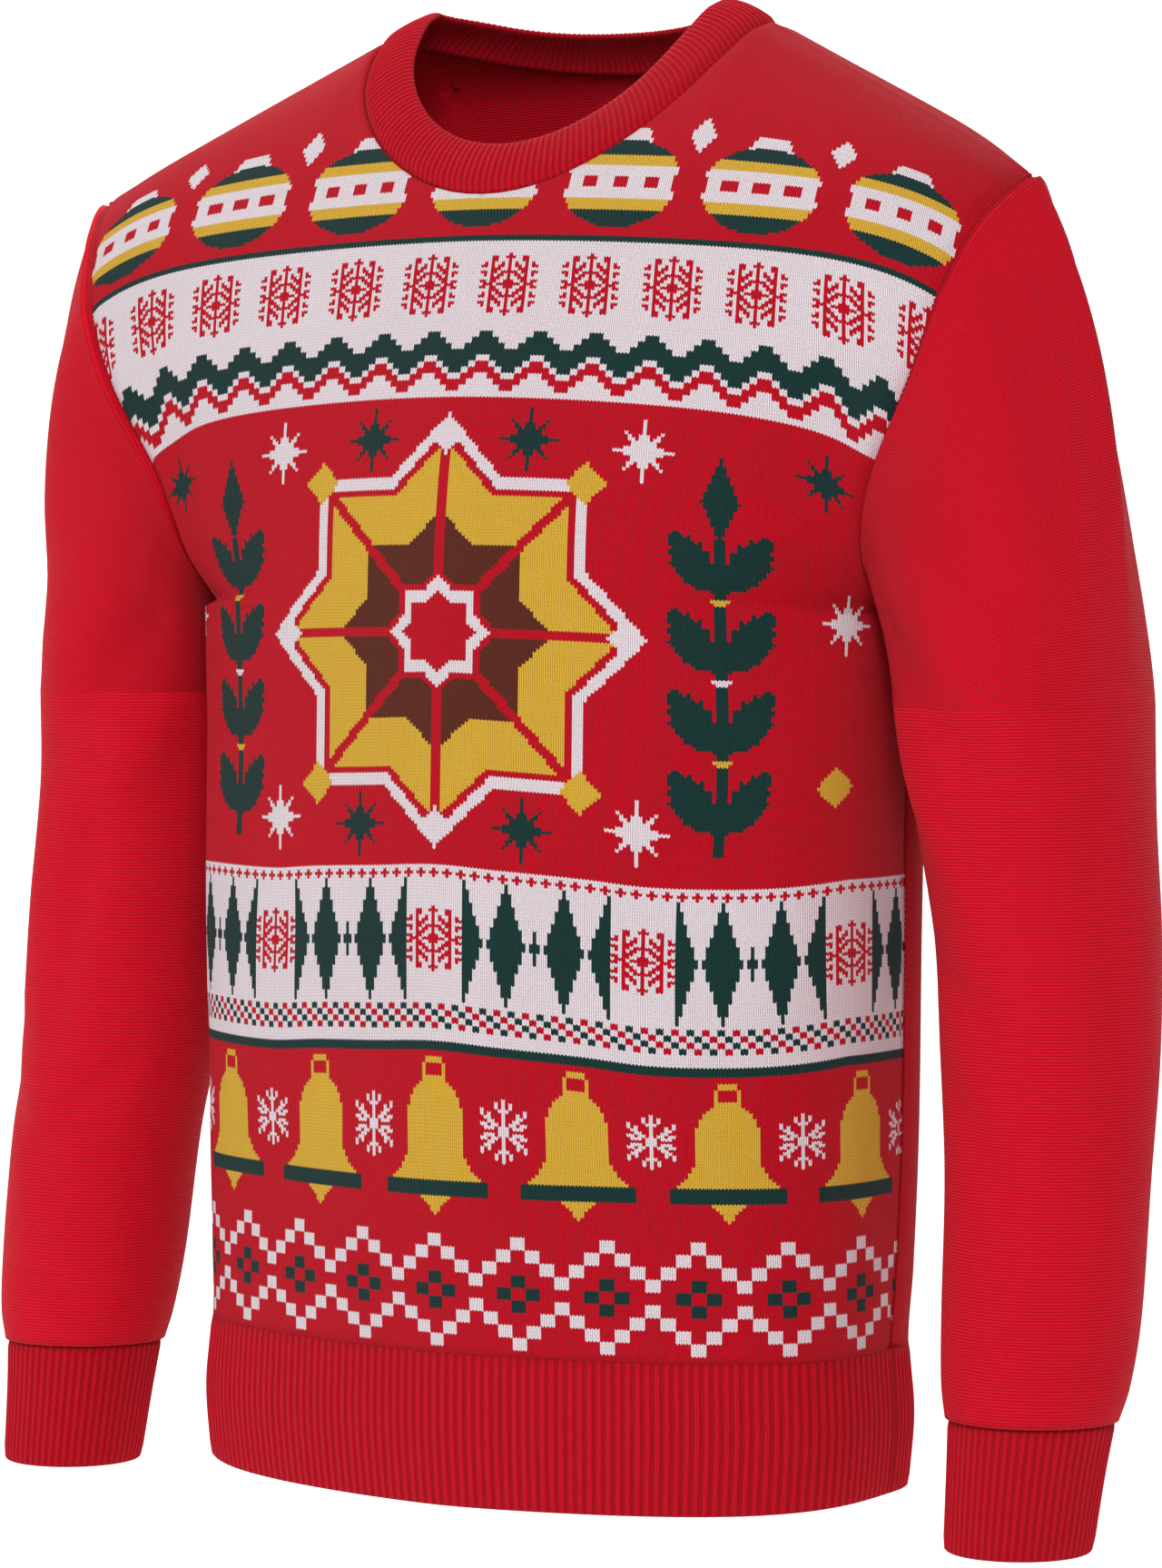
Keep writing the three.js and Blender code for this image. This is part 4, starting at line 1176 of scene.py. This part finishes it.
# Seam stitches
def link_stitches(name, path, out, spacing, size, closed, material):
    """Small links of yarn that follow a seam, made by geometry nodes along its path."""
    mesh = bpy.data.meshes.new(name)
    count = len(path)
    edges = [(k, k + 1) for k in range(count - 1)] + ([(count - 1, 0)] if closed else [])
    mesh.from_pydata(metres(path + out), edges, [])
    holder = bpy.data.objects.new(name, mesh)
    bpy.context.scene.collection.objects.link(holder)
    group = bpy.data.node_groups.new(name + " links", "GeometryNodeTree")
    add = group.interface.new_socket
    add(name="Geometry", in_out="INPUT", socket_type="NodeSocketGeometry")
    spacing_in = add(name="Stitch spacing", in_out="INPUT", socket_type="NodeSocketFloat")
    length_in = add(name="Link length", in_out="INPUT", socket_type="NodeSocketFloat")
    width_in = add(name="Link width", in_out="INPUT", socket_type="NodeSocketFloat")
    add(name="Geometry", in_out="OUTPUT", socket_type="NodeSocketGeometry")
    nodes, links = group.nodes, group.links
    given, result = nodes.new("NodeGroupInput"), nodes.new("NodeGroupOutput")
    curve, steps = nodes.new("GeometryNodeMeshToCurve"), nodes.new("GeometryNodeResampleCurve")
    steps.mode = "LENGTH"
    ball, scale = nodes.new("GeometryNodeMeshIcoSphere"), nodes.new("ShaderNodeCombineXYZ")
    ball.inputs["Subdivisions"].default_value = 2
    ball.inputs["Radius"].default_value = 1.0
    tangent, turn = nodes.new("GeometryNodeInputTangent"), nodes.new("FunctionNodeAlignRotationToVector")
    turn.axis = "X"
    place, real = nodes.new("GeometryNodeInstanceOnPoints"), nodes.new("GeometryNodeRealizeInstances")
    paint, soften = nodes.new("GeometryNodeSetMaterial"), nodes.new("GeometryNodeSetShadeSmooth")
    paint.inputs["Material"].default_value = material
    links.new(given.outputs["Geometry"], curve.inputs[0])
    links.new(curve.outputs[0], steps.inputs["Curve"])
    links.new(given.outputs["Stitch spacing"], steps.inputs["Length"])
    links.new(given.outputs["Link length"], scale.inputs[0])
    links.new(given.outputs["Link width"], scale.inputs[1])
    links.new(given.outputs["Link width"], scale.inputs[2])
    links.new(tangent.outputs[0], turn.inputs["Vector"])
    links.new(steps.outputs[0], place.inputs["Points"])
    links.new(ball.outputs["Mesh"], place.inputs["Instance"])
    links.new(turn.outputs[0], place.inputs["Rotation"])
    links.new(scale.outputs[0], place.inputs["Scale"])
    links.new(place.outputs[0], real.inputs[0])
    links.new(real.outputs[0], soften.inputs[0])
    links.new(soften.outputs[0], paint.inputs[0])
    links.new(paint.outputs[0], result.inputs[0])
    modifier = holder.modifiers.new("links", "NODES")
    modifier.node_group = group
    modifier[spacing_in.identifier] = spacing / 1000
    modifier[length_in.identifier] = size[0] / 1000
    modifier[width_in.identifier] = size[1] / 1000
    evaluated = holder.evaluated_get(bpy.context.evaluated_depsgraph_get())
    made = bpy.data.meshes.new_from_object(evaluated)
    holder.modifiers.clear()
    holder.data = made
    return holder


# The pullover
PLAIN = plain_knit()
INSIDE = purl_inside()
RIBBED = rib_knit()
PATTERNED = patterned_knit()
SEAM = seam_yarn()


def make_panel(name, material):
    panel = panels[name]
    points, stitch = finish_panel(panel)
    quads = panel["quads"]
    return knit_shell("knit_" + name, points, quads, stitch[quads], panel["normals"], [material, INSIDE])


def edge_of(name, half):
    """A panel's armhole edge, lowered as the cloth dips there."""
    panel = panels[name]
    ids = panel[half][[row["up"] >= 0 for row in panel["rows"]], -1]
    return panel["points"][ids] - panel["normals"][ids] * (SEAM_DIP + 0.2)


def armhole_links(half):
    ids = np.concatenate([edge_of("front", half)[::-1], edge_of("back", half)[1:-1]])
    return link_stitches("links_" + half + "_armhole", ids, np.zeros(3), 2.7, (1.15, 0.45), True, SEAM)


def collar_links():
    at, normal = neck_ring()
    return link_stitches("links_collar", at, -normal * (SEAM_DIP * 0.75), 2.9, (1.3, 0.6), True, SEAM)


def shoulder_links(half):
    ids = panels["front"][half][-1]
    at, normal = panels["front"]["points"][ids], panels["front"]["normals"][ids]
    down = -normal * (SEAM_DIP * 0.8)
    return link_stitches("links_" + half + "_shoulder", at, down, 2.7, (1.2, 0.55), False, SEAM)


def side_links(half):
    panel = panels["front"]
    rows = [row["up"] <= 0 for row in panel["rows"]]
    ids = panel[half][rows, -1]
    at, normal = panel["points"][ids], panel["normals"][ids]
    down = -normal * (SEAM_DIP * 0.8)
    return link_stitches("links_" + half + "_side", at, down, 2.7, (1.2, 0.55), False, SEAM)


# Each piece, the solid it stands for, its material's slot, its cut across by high, and the cut's area.
# Cuts are in metres and square metres.
sheets = [
    (make_panel("front", PATTERNED), "front_panel", "patterned_knit", (0.50, 0.64), 0.27),
    (make_panel("back", PLAIN), "back_panel", "plain_knit", (0.50, 0.66), 0.28),
    (
        make_sleeve("left", LEFT_SLEEVE_CREASES, [PLAIN, INSIDE]),
        "left_sleeve",
        "plain_knit",
        (0.40, 0.56),
        0.16,
    ),
    (
        make_sleeve("right", RIGHT_SLEEVE_CREASES, [PLAIN, INSIDE]),
        "right_sleeve",
        "plain_knit",
        (0.40, 0.56),
        0.16,
    ),
    (make_hem("front", RIBBED), "front_hem_rib", "rib_knit", (0.44, 0.065), None),
    (make_hem("back", RIBBED), "back_hem_rib", "rib_knit", (0.38, 0.065), None),
    (make_cuff("left", RIBBED), "left_cuff", "rib_knit", (0.21, 0.055), None),
    (make_cuff("right", RIBBED), "right_cuff", "rib_knit", (0.21, 0.055), None),
    (make_collar(RIBBED), "neck_rib", "rib_knit", (0.56, 0.028), None),
]
seams = [collar_links()]
for half in ("left", "right"):
    seams += [armhole_links(half), shoulder_links(half), side_links(half)]

for piece, node, slot, flat, area in sheets:
    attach(piece, "root")
    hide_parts(node)
for piece in seams:
    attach(piece, "root")


# Studio
def make_backdrop():
    """A pale floor that curves up into a wall behind the pullover, square to the camera."""
    away, across = unit(np.array([-0.5, 0.866, 0])), unit(np.array([0.866, 0.5, 0]))
    profile = [(-3.0, -0.9), (2.2, -0.9)]
    for a in np.linspace(0.15, math.pi / 2, 12):
        profile.append((2.2 + 0.9 * math.sin(a), -0.9 + 0.9 * (1 - math.cos(a))))
    profile += [(3.1, 4.0)]
    points = [across * x + away * d + np.array([0, 0, z]) for d, z in profile for x in (-5.0, 5.0)]
    faces = [(2 * k, 2 * k + 1, 2 * k + 3, 2 * k + 2) for k in range(len(profile) - 1)]
    mesh = bpy.data.meshes.new("backdrop")
    mesh.from_pydata([tuple(p) for p in points], [], faces)
    mesh.polygons.foreach_set("use_smooth", [True] * len(faces))
    material, tree = new_material("pale paper")
    shader = tree.nodes["Principled BSDF"]
    shader.inputs["Base Color"].default_value = (0.93, 0.93, 0.93, 1)
    shader.inputs["Roughness"].default_value = 0.9
    mesh.materials.append(material)
    backdrop = bpy.data.objects.new("backdrop", mesh)
    bpy.context.scene.collection.objects.link(backdrop)


def add_light(name, place, aim, size, power):
    lamp = bpy.data.lights.new(name, "AREA")
    lamp.shape = "DISK"
    lamp.size = size
    lamp.energy = power
    holder = bpy.data.objects.new(name, lamp)
    holder.location = place
    holder.rotation_euler = (Vector(aim) - Vector(place)).to_track_quat("-Z", "Y").to_euler()
    bpy.context.scene.collection.objects.link(holder)


def light_studio():
    middle = (0, 0, -0.3)
    add_light("key", (1.7, -2.8, 1.25), middle, 1.4, 62)
    add_light("fill", (-1.7, -2.3, 0.9), middle, 1.8, 26)
    add_light("rim", (-1.5, 2.0, 1.6), middle, 1.5, 16)
    add_light("backdrop glow", (-0.9, 0.9, 2.4), (-1.5, 2.8, -0.2), 2.4, 75)
    world = bpy.data.worlds.new("studio")
    world.use_nodes = True
    world.node_tree.nodes["Background"].inputs[0].default_value = (1, 1, 1, 1)
    world.node_tree.nodes["Background"].inputs[1].default_value = 0.45
    bpy.context.scene.world = world
    bpy.context.scene.view_settings.view_transform = "Standard"


def place_camera():
    """Level, from the wearer's front left, with the frame shifted down to take in the whole pullover."""
    lens = bpy.data.cameras.new("camera")
    lens.lens = 134.7
    lens.shift_x = -0.0029
    lens.shift_y = -0.178
    lens.clip_end = 50
    holder = bpy.data.objects.new("camera", lens)
    holder.location = (1.325, -2.295, -0.214)
    holder.rotation_euler = (math.radians(90), 0, math.radians(30))
    bpy.context.scene.collection.objects.link(holder)
    bpy.context.scene.camera = holder


make_backdrop()
light_studio()
place_camera()
